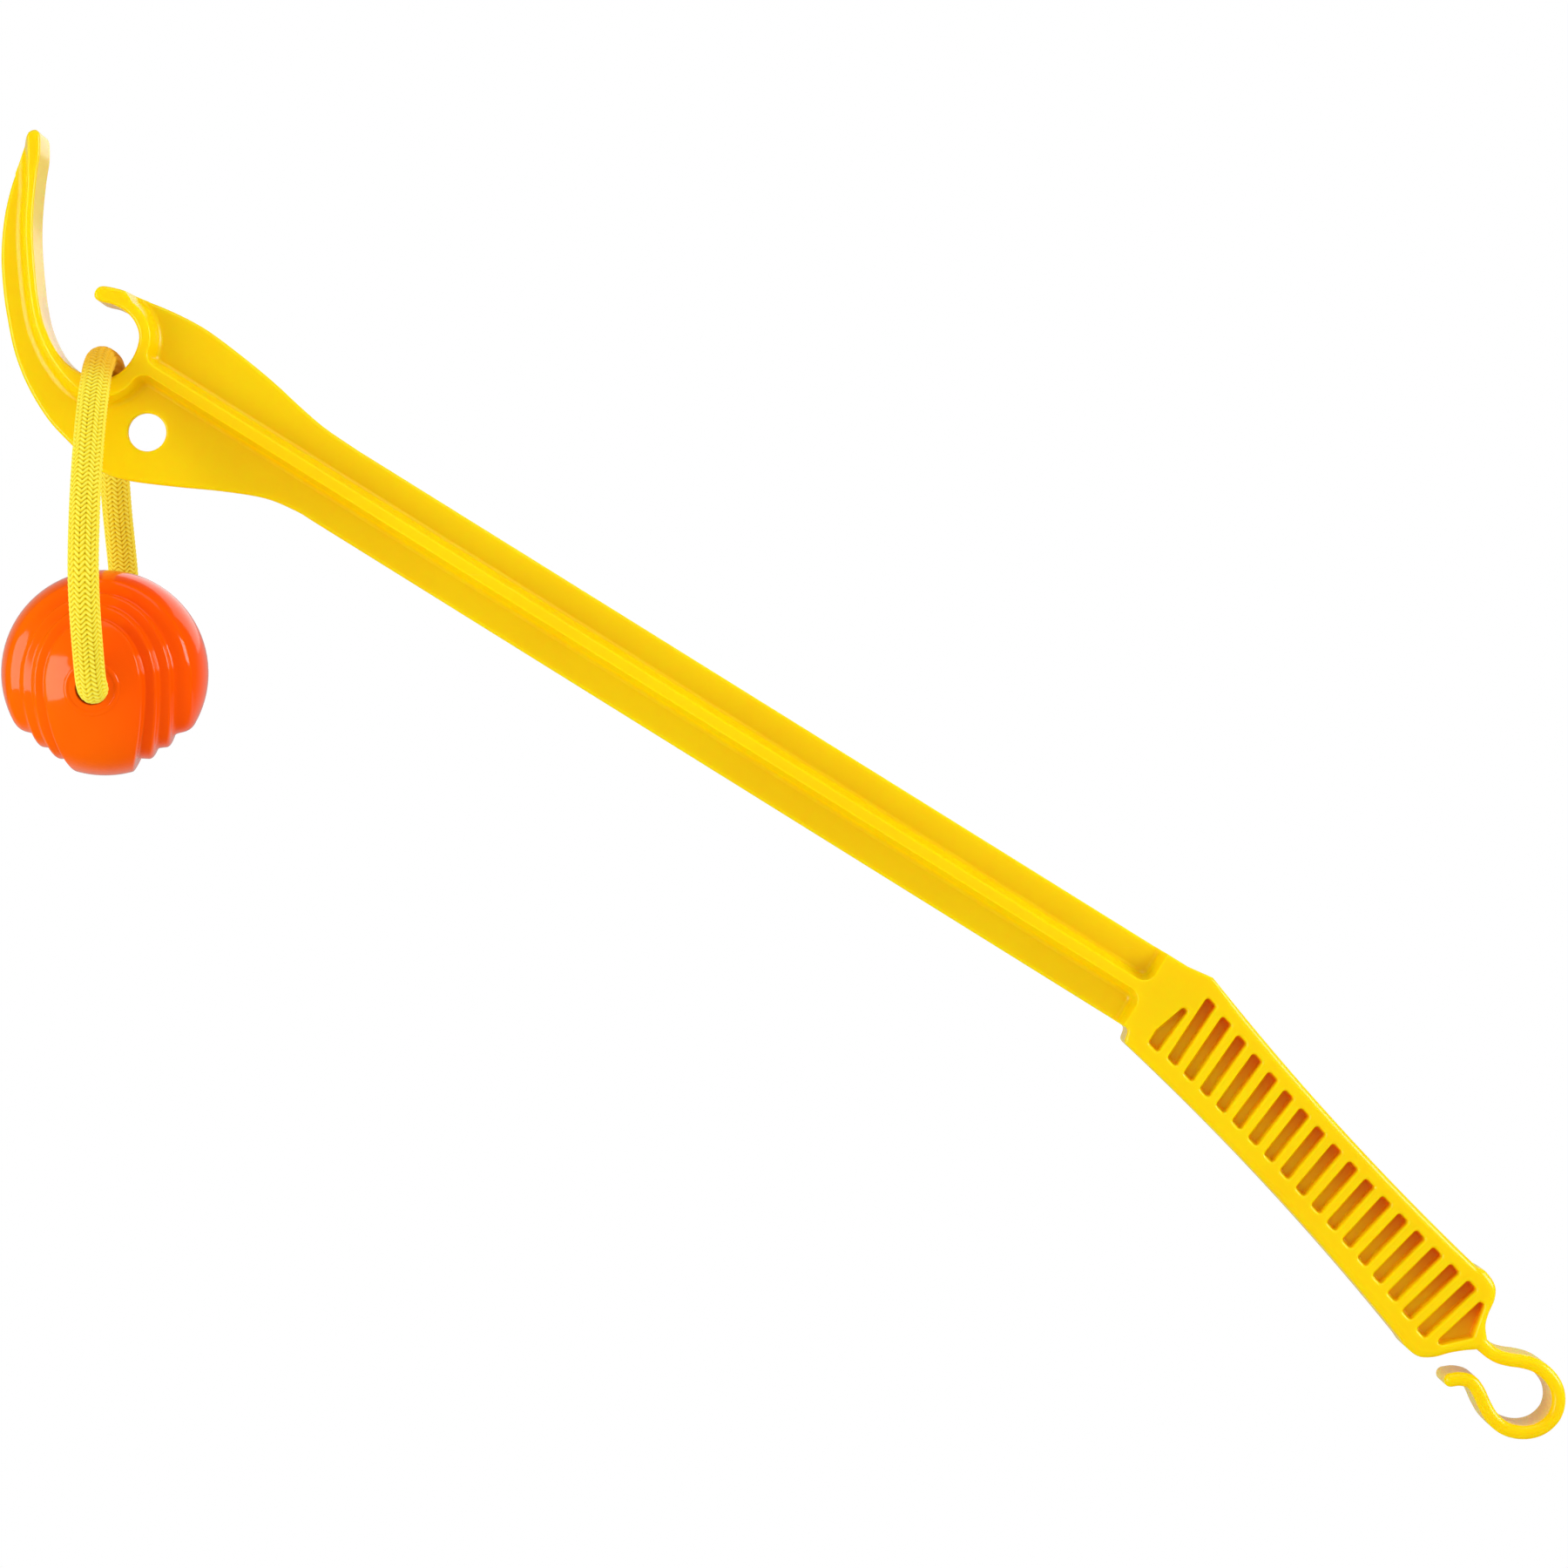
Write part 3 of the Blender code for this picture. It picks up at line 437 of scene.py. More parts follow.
def yellow_plastic():
    """Moulded plastic: an even yellow with faint clouding, a slightly uneven gloss and fine scuffs. Down
    in the grip's slots a painted glow makes it more orange, standing for the light through the walls, and a
    painted shade makes it a darker orange towards their upper ends."""
    made, shader = new_material("moulded_yellow_plastic")
    place = shader.place()
    clouds = shader.noise(place, 22.0, 4.0)
    grain = shader.noise(place, 900.0, 2.0)
    waves = shader.noise(place, 90.0, 2.0)
    stretched = shader.wire("ShaderNodeMapping", None, {
        "Vector": place, "Rotation": (0.0, BLADE_FALL, 0.0), "Scale": (40.0, 300.0, 2600.0),
    })
    scuffs = shader.noise(stretched, 1.0, 4.0, 0.65).between(0.66, 0.80)
    colour = shader.mix(clouds.between(0.35, 0.65), linear(252, 214, 0), linear(249, 210, 0))
    colour = shader.mix(scuffs * 0.10, colour, linear(252, 222, 60))
    x, y, z = shader.split(place)
    along, across = leaned(GRIP_FALL, x, z)
    past_end = (along - (GRIP_LENGTH / 2 - END_POCKET_LEAD)).largest(0.0) * END_POCKET_TAPER
    inside = 1 - (across.size() + past_end).between(GRIP_WAIST / 2 - SLOT_PAINTED_GLOW_EDGE, GRIP_WAIST / 2)
    inside = inside * along.between(-GRIP_LENGTH / 2, SLOT_PAINTED_GLOW_START - GRIP_LENGTH / 2)
    shallow = y.size().between(SLOT_FLOOR_HALF + SLOT_PAINTED_GLOW_EDGE, DEPTH / 2 - SLOT_EDGE_ROUND)
    # Painted glow: more orange down in the slots, standing for light through the walls.
    slot_painted_glow = inside * (1 - shallow)
    colour = shader.mix(slot_painted_glow * 0.40, colour, linear(255, 190, 0))
    # Painted shade: darker orange towards the slots' upper ends.
    slot_painted_shade = slot_painted_glow * across.between(SLOT_PAINTED_SHADE_LOW, SLOT_PAINTED_SHADE_HIGH)
    colour = shader.mix(slot_painted_shade * 0.85, colour, linear(236, 120, 0))
    finish_material(shader, {
        "Base Color": colour,
        "Roughness": 0.20 + grain * 0.05 + scuffs * 0.10,
        "IOR": 1.46,
        "Specular IOR Level": 0.45,
        "Subsurface Weight": 0.8,
        "Subsurface Radius": (1.0, 0.42, 0.03),
        "Subsurface Scale": PLASTIC_GLOW_REACH,
    }, bump(shader, waves * 0.25 + grain * 0.12, PLASTIC_BUMP, 0.5))
    return made


def orange_rubber():
    """Glossy solid rubber with a faint orange-peel skin, and a painted shade that makes it a little redder
    to the right.
    """
    made, shader = new_material("glossy_orange_rubber")
    place = shader.place()
    peel = shader.noise(place, 420.0, 2.0)
    fine = shader.noise(place, 2600.0, 2.0)
    clouds = shader.noise(place, 45.0, 3.0)
    # Painted shade: the ball turns redder and darker to the right, where less light falls.
    x, _, z = shader.split(place)
    middle = ball_place()
    slanted = x - middle.x + (z - middle.z) * 0.3
    right = slanted.between(-0.6 * BALL_RADIUS, 0.7 * BALL_RADIUS)
    colour = shader.mix(right, linear(255, 106, 0), linear(255, 84, 0))
    colour = shader.mix(clouds.between(0.35, 0.65) * 0.3, colour, linear(255, 88, 0))
    finish_material(shader, {
        "Base Color": colour,
        "Roughness": 0.07 + fine * 0.05,
        "IOR": 1.42,
        "Specular IOR Level": 0.48,
    }, bump(shader, peel + fine * 0.2, RUBBER_BUMP, 0.4))
    return made


def rope_body(shader, place, weave, lines, gold):
    """The cord's colours and fuzz: a paler painted highlight on a stitch, where weave is 1, painted shade in
    a crease, where it is 0, and a deeper golden painted shade as strong as its last argument."""
    fuzz = shader.noise(place, 2400.0, 3.0)
    # Painted shade darkens the creases, and a paler painted highlight lies on the stitches' tops; the ramp
    # follows the relief's weave.
    stops = (
        (0.00, linear(164, 126, 0)), (0.35, linear(228, 190, 0)),
        (0.65, linear(255, 228, 14)), (1.00, linear(255, 246, 84)),
    )
    colour = shader.wire("ShaderNodeValToRGB", {"stops": stops}, {"Fac": weave})
    colour = shader.mix(fuzz.between(0.55, 0.75) * 0.14, colour, linear(255, 240, 100))
    # Painted shade: a deeper golden colour where the shade value is high.
    colour = shader.mix(gold * 0.7, colour, linear(240, 166, 0))
    finish_material(shader, {
        "Base Color": colour,
        "Roughness": 0.62 + fuzz * 0.15,
        "Specular IOR Level": 0.25,
        "Sheen Weight": 0.06,
        "Sheen Roughness": 0.5,
    }, bump(shader, lines * 0.6 + fuzz * 0.6, ROPE_BUMP, 0.6))


def braided_rope():
    """Braided cord: plump light stitches with fine fibres and darker creases between them, with a painted
    highlight on the stitches and painted shade in the creases. A painted shade makes it a deeper golden
    colour over the saddle and on the back leg's right side, where it also stands for orange light reflected
    from the ball and the launcher."""
    made, shader = new_material("braided_yellow_rope")
    weave, fibre, gold = (
        shader.wire("ShaderNodeAttribute", {"attribute_name": name}, None, "Fac")
        for name in ("weave", "fibre", "gold")
    )
    lines = (fibre * (2 * math.pi * FIBRE_LINES)).sine() * 0.5 + 0.5
    rope_body(shader, shader.place(), weave, lines, gold)
    return made


def knotted_rope():
    """The same cord for the plain knot inside the ball: two slanting sets of stitches that cross."""
    made, shader = new_material("knotted_yellow_rope")
    place = shader.place()
    x, y, z = shader.split(place)
    turn = math.pi / STITCH_PITCH
    one = ((x + z) * turn).sine()
    two = ((x - z + y) * turn).sine()
    lines = ((x + z) * (2 * turn * FIBRE_LINES)).sine() * 0.5 + 0.5
    # The knot takes painted shade in the creases of its crossing stitches, and half the deeper golden
    # painted shade all over.
    rope_body(shader, place, one * two * 0.5 + 0.5, lines, 0.5)
    return made


def white_room(shader, kind, body, white, shiny):
    """Plain white light where white is 1, else a dim room in gloss, and else the body's own look."""
    light, dim = (
        shader.wire(kind, None, {"Color": WHITE, "Strength": strength}) for strength in (1.0, ROOM_GLOSS)
    )
    rest = shader.wire("ShaderNodeMixShader", None, {0: shiny, 1: body, 2: dim})
    return shader.wire("ShaderNodeMixShader", None, {0: white, 1: rest, 2: light})


def pale_floor():
    """The floor: plain pale grey with the object's shadow, and white where it is the picture's ground."""
    made, shader = new_material("pale_floor")
    seen, shiny, clear = shader.rays()
    place = shader.place()
    inputs = {0: place, 1: (0.0, 0.0, FLOOR_HEIGHT)}
    away = shader.wire("ShaderNodeVectorMath", {"operation": "DISTANCE"}, inputs, "Value")
    ground = away.between(GROUND_START, GROUND_END) * seen
    behind = shader.split(place)[1].between(BACK_START, BACK_END)
    white = clear.largest(ground).largest(shiny * behind * BACK_GLOSS)
    inputs = {"Base Color": (0.86, 0.86, 0.86, 1.0), "Roughness": 0.9}
    body = shader.wire("ShaderNodeBsdfPrincipled", None, inputs)
    look = white_room(shader, "ShaderNodeEmission", body, white, shiny)
    shader.add("ShaderNodeOutputMaterial", None, {"Surface": look})
    return made


def make_world():
    """A white ground for the camera, a dim room in gloss that is paler at its back, and an even light for
    everything else."""
    world = bpy.data.worlds.new("white_room")
    bpy.context.scene.world = world
    world.use_nodes = True
    world.cycles.sampling_method = "NONE"
    shader = Shader(world.node_tree)
    seen, shiny, clear = shader.rays()
    way = shader.wire("ShaderNodeTexCoord", None, None, "Generated")
    behind = shader.split(way)[1].between(ROOM_BACK_START, ROOM_BACK_END)
    white = seen.largest(clear).largest(shiny * behind * BACK_GLOSS)
    body = shader.wire("ShaderNodeBackground", None, {"Color": WHITE, "Strength": ROOM_LIGHT})
    look = white_room(shader, "ShaderNodeBackground", body, white, shiny)
    shader.add("ShaderNodeOutputWorld", None, {"Surface": look})


def add_object(name, data):
    obj = bpy.data.objects.new(name, data)
    bpy.context.scene.collection.objects.link(obj)
    return obj


def add_mesh(name, bm):
    bmesh.ops.recalc_face_normals(bm, faces=bm.faces)
    mesh = bpy.data.meshes.new(name)
    bm.to_mesh(mesh)
    bm.free()
    return add_object(name, mesh)


def make_camera():
    data = bpy.data.cameras.new("photo_camera")
    data.lens = LENS
    data.sensor_width = SENSOR
    camera = add_object("photo_camera", data)
    camera.location = CAMERA_PLACE
    camera.rotation_euler = (math.pi / 2, 0, 0)
    bpy.context.scene.camera = camera


def make_stage():
    bm = bmesh.new()
    bmesh.ops.create_grid(bm, x_segments=1, y_segments=1, size=FLOOR_REACH)
    bmesh.ops.translate(bm, verts=bm.verts, vec=(0, 0, FLOOR_HEIGHT))
    floor = add_mesh("floor", bm)
    floor.data.materials.append(pale_floor())
    for name, place, aim, width, height, power in LAMPS:
        lamp = bpy.data.lights.new(name, "AREA")
        lamp.shape = "RECTANGLE"
        lamp.size = width
        lamp.size_y = height
        lamp.energy = power
        obj = add_object(name, lamp)
        obj.location = place
        obj.rotation_euler = (Vector(aim) - Vector(place)).to_track_quat("-Z", "Y").to_euler()


def leaned(fall, x, z):
    """A place of the XZ plane, in numbers or wires, along and across a line that falls to the right."""
    return x * math.cos(fall) - z * math.sin(fall), x * math.sin(fall) + z * math.cos(fall)


def from_grip(along, across):
    return Vector(leaned(-GRIP_FALL, along, across))


def from_blade(along, across):
    return from_grip(-GRIP_LENGTH / 2, 0) + Vector(leaned(-BLADE_FALL, -along, across))


def saddle():
    return from_blade(SADDLE_ALONG, SADDLE_ACROSS)


def blade_start(share, across):
    """A point beside the blade's start, a share of HEAD_SIZE from the saddle towards the grip."""
    return from_blade(SADDLE_ALONG - share * HEAD_SIZE, across)


def scaled(start, size, *shares):
    """The points whose shares of a size, to the right and up from a start, are given."""
    return [start + Vector(share) * size for share in shares]


def from_head(*shares):
    return scaled(saddle(), HEAD_SIZE, *shares)


def smooth(points, steps):
    """Points on a smooth curve through the given ones, with the same number of steps in every span."""
    ends = [2 * points[0] - points[1], *points, 2 * points[-1] - points[-2]]
    found = []
    for i in range(1, len(ends) - 2):
        before, start, stop, after = ends[i - 1:i + 3]
        for k in range(steps):
            t = k / steps
            found.append(0.5 * (
                2 * start
                + t * (stop - before)
                + t * t * (2 * before - 5 * start + 4 * stop - after)
                + t * t * t * (3 * start - before - 3 * stop + after)
            ))
    found.append(points[-1])
    return found


def side_steps(points):
    """The normal on the left of a line at each point, stretched so that offsets stay parallel."""
    normals = []
    last = len(points) - 1
    for i, point in enumerate(points):
        before = (point - points[max(i - 1, 0)]).normalized()
        after = (points[min(i + 1, last)] - point).normalized()
        if i == 0:
            before = after
        if i == last:
            after = before
        first = Vector((-before.y, before.x))
        second = Vector((-after.y, after.x))
        normals.append((first + second) / (1 + first.dot(second)))
    return normals


def offset_line(points, distances):
    return [p + n * d for p, n, d in zip(points, side_steps(points), distances, strict=True)]


def offset_loop(points, distance, spread=lambda point: 1.0):
    """A counter-clockwise outline moved outwards by a distance, times its spread at each place."""
    count = len(points)
    moved = []
    for i, point in enumerate(points):
        before = (point - points[i - 1]).normalized()
        after = (points[(i + 1) % count] - point).normalized()
        right = Vector((before.y, -before.x))
        next_right = Vector((after.y, -after.x))
        step = distance * spread(point) / (1 + right.dot(next_right))
        moved.append(point + (right + next_right) * step)
    return moved


def rounded(corner, before, after, radius, steps=CORNER_STEPS):
    """An arc that rounds a corner between two neighbouring points."""
    to_before = (before - corner).normalized()
    to_after = (after - corner).normalized()
    half = 0.5 * to_before.angle(to_after)
    reach = radius / math.tan(half)
    bisector = (to_before + to_after).normalized()
    centre = corner + bisector * (radius / math.sin(half))
    start = corner + to_before * reach - centre
    turn = (corner + to_after * reach - centre).angle_signed(start)
    return [centre + Matrix.Rotation(turn * k / steps, 2) @ start for k in range(steps + 1)]


def counter_clockwise(points):
    area = sum(a.cross(b) for a, b in zip(points, points[1:] + points[:1], strict=True))
    return points if area > 0 else points[::-1]


def add_stack(bm, levels):
    """A closed solid through a stack of outlines, each at its own place along Y: the first is filled, and
    extruded from each outline to the next."""
    points, depth = levels[0]
    foot = cap = bm.faces.new([bm.verts.new((p.x, depth, p.y)) for p in points])
    for points, depth in levels[1:]:
        made = bmesh.ops.extrude_face_region(bm, geom=[cap])["geom"]
        if cap is not foot:
            bmesh.ops.delete(bm, geom=[cap], context="FACES_ONLY")
        cap = next(part for part in made if isinstance(part, bmesh.types.BMFace))
        for vert, point in zip(cap.verts, points, strict=True):
            vert.co = (point.x, depth, point.y)


def inner_edge():
    return smooth(from_head(*INNER_EDGE_SHARES), INNER_EDGE_STEPS)


def smooth_step(value):
    share = np.clip(value, 0.0, 1.0)
    return share * share * (3 - 2 * share)


def claw_share(point):
    """0 from the saddle on, and 1 along the claw."""
    return smooth_step((saddle().x - point.x) / CLAW_WALL_REACH)


def rim_line():
    """The rim's outer side: it follows the inner edge, wider round the saddle, narrow along the claw and a
    little wider again at its tip."""
    edge = inner_edge()
    seat = saddle()
    widths = []
    for point in edge:
        near = math.exp(-((point - seat).length / (SADDLE_RIM_REACH_SHARE * HEAD_SIZE)) ** 2)
        below = smooth_step((edge[0].y - point.y) / CLAW_TIP_REACH)
        less = claw_share(point) * ((CLAW_RIM_LESS + CLAW_TIP_RIM_EXTRA) * below - CLAW_TIP_RIM_EXTRA)
        widths.append(less - RIM_WIDTH - SADDLE_RIM_EXTRA * near)
    return offset_line(edge, widths)


def grip_half_width(along):
    return GRIP_WAIST / 2 + GRIP_FLARE * (2 * along / GRIP_LENGTH) ** 2


def grip_edge(start, stop, side):
    points = []
    for k in range(GRIP_STEPS + 1):
        along = start + (stop - start) * k / GRIP_STEPS
        points.append(from_grip(along, side * grip_half_width(along)))
    return points


def ring_sides():
    """The ring hook's strip: its outer side, its round end and its inner side, as one line."""
    line = smooth(scaled(from_grip(GRIP_LENGTH / 2, 0), RING_SIZE, *RING_SHARES), RING_STEPS)
    half = RING_STRIP / 2
    outer = offset_line(line, [half] * len(line))
    inner = offset_line(line, [-half] * len(line))
    tip = line[-1]
    start = outer[-1] - tip
    turns = [-math.pi * k / RING_CAP_STEPS for k in range(1, RING_CAP_STEPS)]
    cap = [tip + Matrix.Rotation(turn, 2) @ start for turn in turns]
    return outer + cap + inner[::-1]


def grip_corner(start, shares, stop):
    """The smooth line between two points, without them, round one corner of the grip's end."""
    corner = [from_grip(along * GRIP_LENGTH, across * GRIP_WAIST) for along, across in shares]
    return smooth([start, *corner, stop], OUTER_EDGE_STEPS)[1:-1]


def launcher_outline():
    half_blade = BLADE_WIDTH / 2
    top = from_blade(0, BLADE_OFFSET + half_blade)
    top_start = blade_start(BLADE_START_TOP_SHARE, BLADE_OFFSET + half_blade)
    bottom = from_blade(SHOULDER_NOTCH_ALONG, BLADE_OFFSET - half_blade)
    bottom_start = blade_start(BLADE_START_BOTTOM_SHARE, BLADE_OFFSET - half_blade)
    half_grip = GRIP_LENGTH / 2
    edge_end = GRIP_EDGE_END_SHARE * GRIP_LENGTH
    shoulder_along = -half_grip + SHOULDER_TOP_LEAD
    upper = grip_edge(shoulder_along + GRIP_EDGE_LEAD, edge_end, 1)
    lower = grip_edge(edge_end, -half_grip + GRIP_EDGE_LEAD, -1)
    top_corner = from_grip(shoulder_along, grip_half_width(shoulder_along))
    bottom_corner = from_grip(-half_grip, -grip_half_width(half_grip))
    outline = inner_edge()
    hook = from_head(*HOOK_TIP_SHARES, *HOOK_TOP_SHARES)
    outline += smooth([outline[-1], *hook, top_start], OUTER_EDGE_STEPS)[1:]
    outline += rounded(top, top_start, top_corner, GRIP_CORNER_ROUND)
    outline += rounded(top_corner, top, upper[0], SHOULDER_CORNER_ROUND)
    outline += upper
    ring = ring_sides()
    outline += grip_corner(upper[-1], GRIP_TOP_END_SHARES, ring[0])
    outline += ring
    outline += grip_corner(ring[-1], GRIP_BOTTOM_END_SHARES, lower[0])
    outline += lower
    outline += rounded(bottom_corner, lower[-1], bottom, SHOULDER_CORNER_ROUND)
    outline += rounded(bottom, bottom_corner, bottom_start, SHOULDER_CORNER_ROUND)
    claw = from_head(*PLATE_BOTTOM_SHARES[::-1], *CLAW_OUTER_SHARES[::-1], *CLAW_TIP_SHARES)
    outline += smooth([bottom_start, *claw, outline[0]], OUTER_EDGE_STEPS)[:-1]
    return counter_clockwise(outline)


def edge_round(place):
    """How round the launcher's edge is: slight on the blade, fuller on the grip and the ring hook."""
    along, _ = leaned(GRIP_FALL, place.x, place.z)
    grip = smooth_step((along + GRIP_LENGTH / 2 - SHOULDER_ROUND_START) / SHOULDER_ROUND_REACH)
    hook = smooth_step((along - GRIP_LENGTH / 2 + RING_ROUND_LEAD) / RING_ROUND_REACH)
    return EDGE_ROUND + (GRIP_ROUND - EDGE_ROUND) * grip - (GRIP_ROUND - RING_ROUND) * hook


def round_slab(name, outline, half, widest, round_at):
    """A slab with round edges on both faces, whose radius is given place by place."""
    bm = bmesh.new()
    add_stack(bm, [(outline, -half), (outline, half)])
    weights = bm.edges.layers.float.new("bevel_weight_edge")
    for edge in bm.edges:
        one, two = edge.verts
        if one.co.y * two.co.y > 0:
            edge[weights] = round_at((one.co + two.co) / 2) / widest
    slab = add_mesh(name, bm)
    modifier = slab.modifiers.new("round_edges", "BEVEL")
    modifier.limit_method = "WEIGHT"
    modifier.width = widest
    modifier.segments = EDGE_ARC_STEPS
    modifier.use_clamp_overlap = False
    return slab


def arc_from_side(radius, steps=EDGE_ARC_STEPS):
    """A rounded edge from the side to the face: how far in, and how far below the face."""
    found = []
    for k in range(steps + 1):
        angle = math.pi / 2 * k / steps
        found.append((radius * (1 - math.cos(angle)), radius * (1 - math.sin(angle))))
    return found


def crossing(line, across):
    """Where a line, once past its lowest point, rises over a line along the blade: the index of the point
    before it, and the crossing."""
    def height(point):
        return leaned(BLADE_FALL, *(point - from_blade(0, 0)))[1]

    lowest = min(range(len(line)), key=lambda i: height(line[i]))
    for i in range(lowest, len(line) - 1):
        low, high = height(line[i]), height(line[i + 1])
        if low <= across < high:
            return i, line[i].lerp(line[i + 1], (across - low) / (high - low))


def clear_of(corner, line):
    """The points of a line that leave room for the rounding of a recess corner."""
    room = RECESS_CORNER_ROUND + RECESS_CORNER_CLEAR
    return [p for p in line if (p - corner).length > room]


def blade_end(corner, start, rib, outside):
    """A recess's outline from its corner under the saddle along the rib, and out beside the grip."""
    end, last = from_blade(RECESS_END_ALONG, rib), from_blade(RECESS_END_ALONG, outside)
    line = rounded(corner, start, end, RECESS_CORNER_ROUND)
    return line + rounded(end, corner, last, RECESS_CORNER_ROUND) + [last]


def lower_recess():
    """The recess under the rib: the claw's back, the plate and the blade's lower half. It runs out over
    the claw's tip, where the web narrows away."""
    rim = rim_line()
    rib = BLADE_OFFSET - RIB_WIDTH / 2
    index, corner = crossing(rim, rib)
    side = from_head(*CLAW_RIM_END_SHARES) + clear_of(corner, rim[:index + 1])
    edge = BLADE_OFFSET - BLADE_WIDTH / 2
    shares = PLATE_BOTTOM_SHARES[::-1] + CLAW_OUTER_SHARES[::-1] + CLAW_TIP_SHARES[:2]
    wide = [blade_start(BLADE_START_BOTTOM_SHARE, edge), *from_head(*shares)]
    region = side + blade_end(corner, side[-1], rib, edge - RECESS_OVERRUN)
    return counter_clockwise(region + offset_line(wide, [RECESS_OVERRUN] * len(wide)))


def upper_recess():
    """The recess over the rib: behind the short hook, whose rim it leaves at the top, and along the
    blade's upper half."""
    rim = rim_line()
    rib = BLADE_OFFSET + RIB_WIDTH / 2
    index, corner = crossing(rim, rib)
    hook_end = from_head((HOOK_RIM_END_SHARE, 0))[0].x
    side = [p for p in clear_of(corner, rim[index + 1:]) if p.x > hook_end]
    edge = BLADE_OFFSET + BLADE_WIDTH / 2
    hook = [p for p in from_head(*HOOK_TOP_SHARES) if p.x > hook_end]
    wide = [*hook, blade_start(BLADE_START_TOP_SHARE, edge)]
    region = from_head(*HOOK_RIM_END_SHARES) + side[::-1]
    region += blade_end(corner, side[0], rib, edge + RECESS_OVERRUN)
    return counter_clockwise(region + offset_line(wide, [RECESS_OVERRUN] * len(wide))[::-1])


def wall_spread(point):
    """The recess wall's width as a share: it lies flatter along the claw."""
    return 1 + CLAW_WALL_EXTRA * claw_share(point)


def face_steps(radius):
    """A cutter's way in past a face, round at the edge: how far it stands out, and its place along Y."""
    half = DEPTH / 2
    steps = [(inward, half - drop) for inward, drop in arc_from_side(radius)[::-1]]
    return [(radius, half + CUT_OVERRUN), *steps]


def recess_levels(region):
    """The outlines of a recess from over the face down to the web: a round edge, a drafted wall, and a
    fillet whose toe ends just under the web's face."""
    toe = WEB_THICKNESS / 2 - FOOT_SINK
    steps = face_steps(RECESS_EDGE_ROUND)
    steps += [(-WALL_DRAFT - inward, toe + drop) for inward, drop in arc_from_side(FOOT_FILLET)]
    return [(offset_loop(region, offset, wall_spread), y) for offset, y in steps]


def recess_cutters():
    """One closed cutter for each recess, through from face to face."""
    bm = bmesh.new()
    for region in (lower_recess(), upper_recess()):
        upper = recess_levels(region)
        add_stack(bm, upper + [(points, -y) for points, y in reversed(upper)])
    return add_mesh("recess_cutter", bm)


def pocket_outline(corners):
    outline = []
    count = len(corners)
    for i, corner in enumerate(corners):
        before, after = corners[i - 1], corners[(i + 1) % count]
        outline += rounded(corner, before, after, SLOT_CORNER_ROUND, SLOT_CORNER_STEPS)
    return counter_clockwise(outline)


def slot_corners(index):
    share = index / (SLOT_COUNT - 1)
    lean = SLOT_FIRST_LEAN + (SLOT_LAST_LEAN - SLOT_FIRST_LEAN) * share
    along = GRIP_LENGTH * (SLOT_FIRST_SHARE + (SLOT_LAST_SHARE - SLOT_FIRST_SHARE) * share)
    top = grip_half_width(along) - SLOT_TOP_RIM
    bottom = SLOT_BOTTOM_RIM - grip_half_width(along)
    foot = along + (top - bottom) * math.tan(lean)
    half = SLOT_WIDTH / 2
    return [
        from_grip(foot - half, bottom), from_grip(foot + half, bottom),
        from_grip(along + half, top), from_grip(along - half, top),
    ]


def waist_shares(start, shares):
    return [from_grip(start + along * GRIP_WAIST, across * GRIP_WAIST) for along, across in shares]


def slot_cutters():
    """All the blind pockets of the grip, on both faces, with soft edges at the face and at the floor."""
    pockets = [slot_corners(i) for i in range(SLOT_COUNT)]
    pockets.append(waist_shares(-GRIP_LENGTH / 2, FRONT_POCKET_SHARES))
    pockets.append(waist_shares(GRIP_LENGTH / 2, END_POCKET_SHARES))
    steps = face_steps(SLOT_EDGE_ROUND)
    for inward, drop in arc_from_side(SLOT_FLOOR_ROUND, SLOT_FLOOR_STEPS):
        steps.append((-SLOT_DRAFT - inward, SLOT_FLOOR_HALF + drop))
    bm = bmesh.new()
    for corners in pockets:
        outline = pocket_outline(corners)
        for side in (-1, 1):
            add_stack(bm, [(offset_loop(outline, offset), side * y) for offset, y in steps])
    return add_mesh("slot_cutter", bm)


def lip_arc(radius, lip, face, steps):
    """A bore's round lip, from its wall out to the face, as (radius, y) points."""
    return [(radius + inward, face - drop) for inward, drop in arc_from_side(lip, steps)]


def hole_cutter():
    """The hanging hole through the plate, with a rounded edge on both faces."""
    lip = lip_arc(HANG_HOLE_RADIUS, HANG_HOLE_EDGE, WEB_THICKNESS / 2, EDGE_ARC_STEPS)
    lip.append((lip[-1][0], lip[-1][1] + CUT_OVERRUN))
    half = [*lip, (0, lip[-1][1])]
    bm = turned([(radius, -y) for radius, y in reversed(half)] + half)
    centre = from_head(HANG_HOLE_SHARES)[0]
    bmesh.ops.translate(bm, verts=bm.verts, vec=(centre.x, 0, centre.y))
    return add_mesh("hole_cutter", bm)


def combine(obj, other, operation):
    modifier = obj.modifiers.new(other.name, "BOOLEAN")
    modifier.operation = operation
    modifier.solver = "EXACT"
    modifier.object = other


def settle(obj, *helpers):
    """Makes the result of the modifiers the piece's own mesh, and removes the helpers."""
    graph = bpy.context.evaluated_depsgraph_get()
    mesh = bpy.data.meshes.new_from_object(obj.evaluated_get(graph))
    old = obj.data
    obj.modifiers.clear()
    obj.data = mesh
    mesh.name = obj.name
    bpy.data.meshes.remove(old)
    for helper in helpers:
        bpy.data.objects.remove(helper, do_unlink=True)


def drop_slivers(obj):
    """Removes the edges and faces of almost no size that a cut leaves."""
    bm = bmesh.new()
    bm.from_mesh(obj.data)
    bmesh.ops.dissolve_degenerate(bm, dist=SLIVER_SIZE, edges=bm.edges)
    bm.to_mesh(obj.data)
    bm.free()


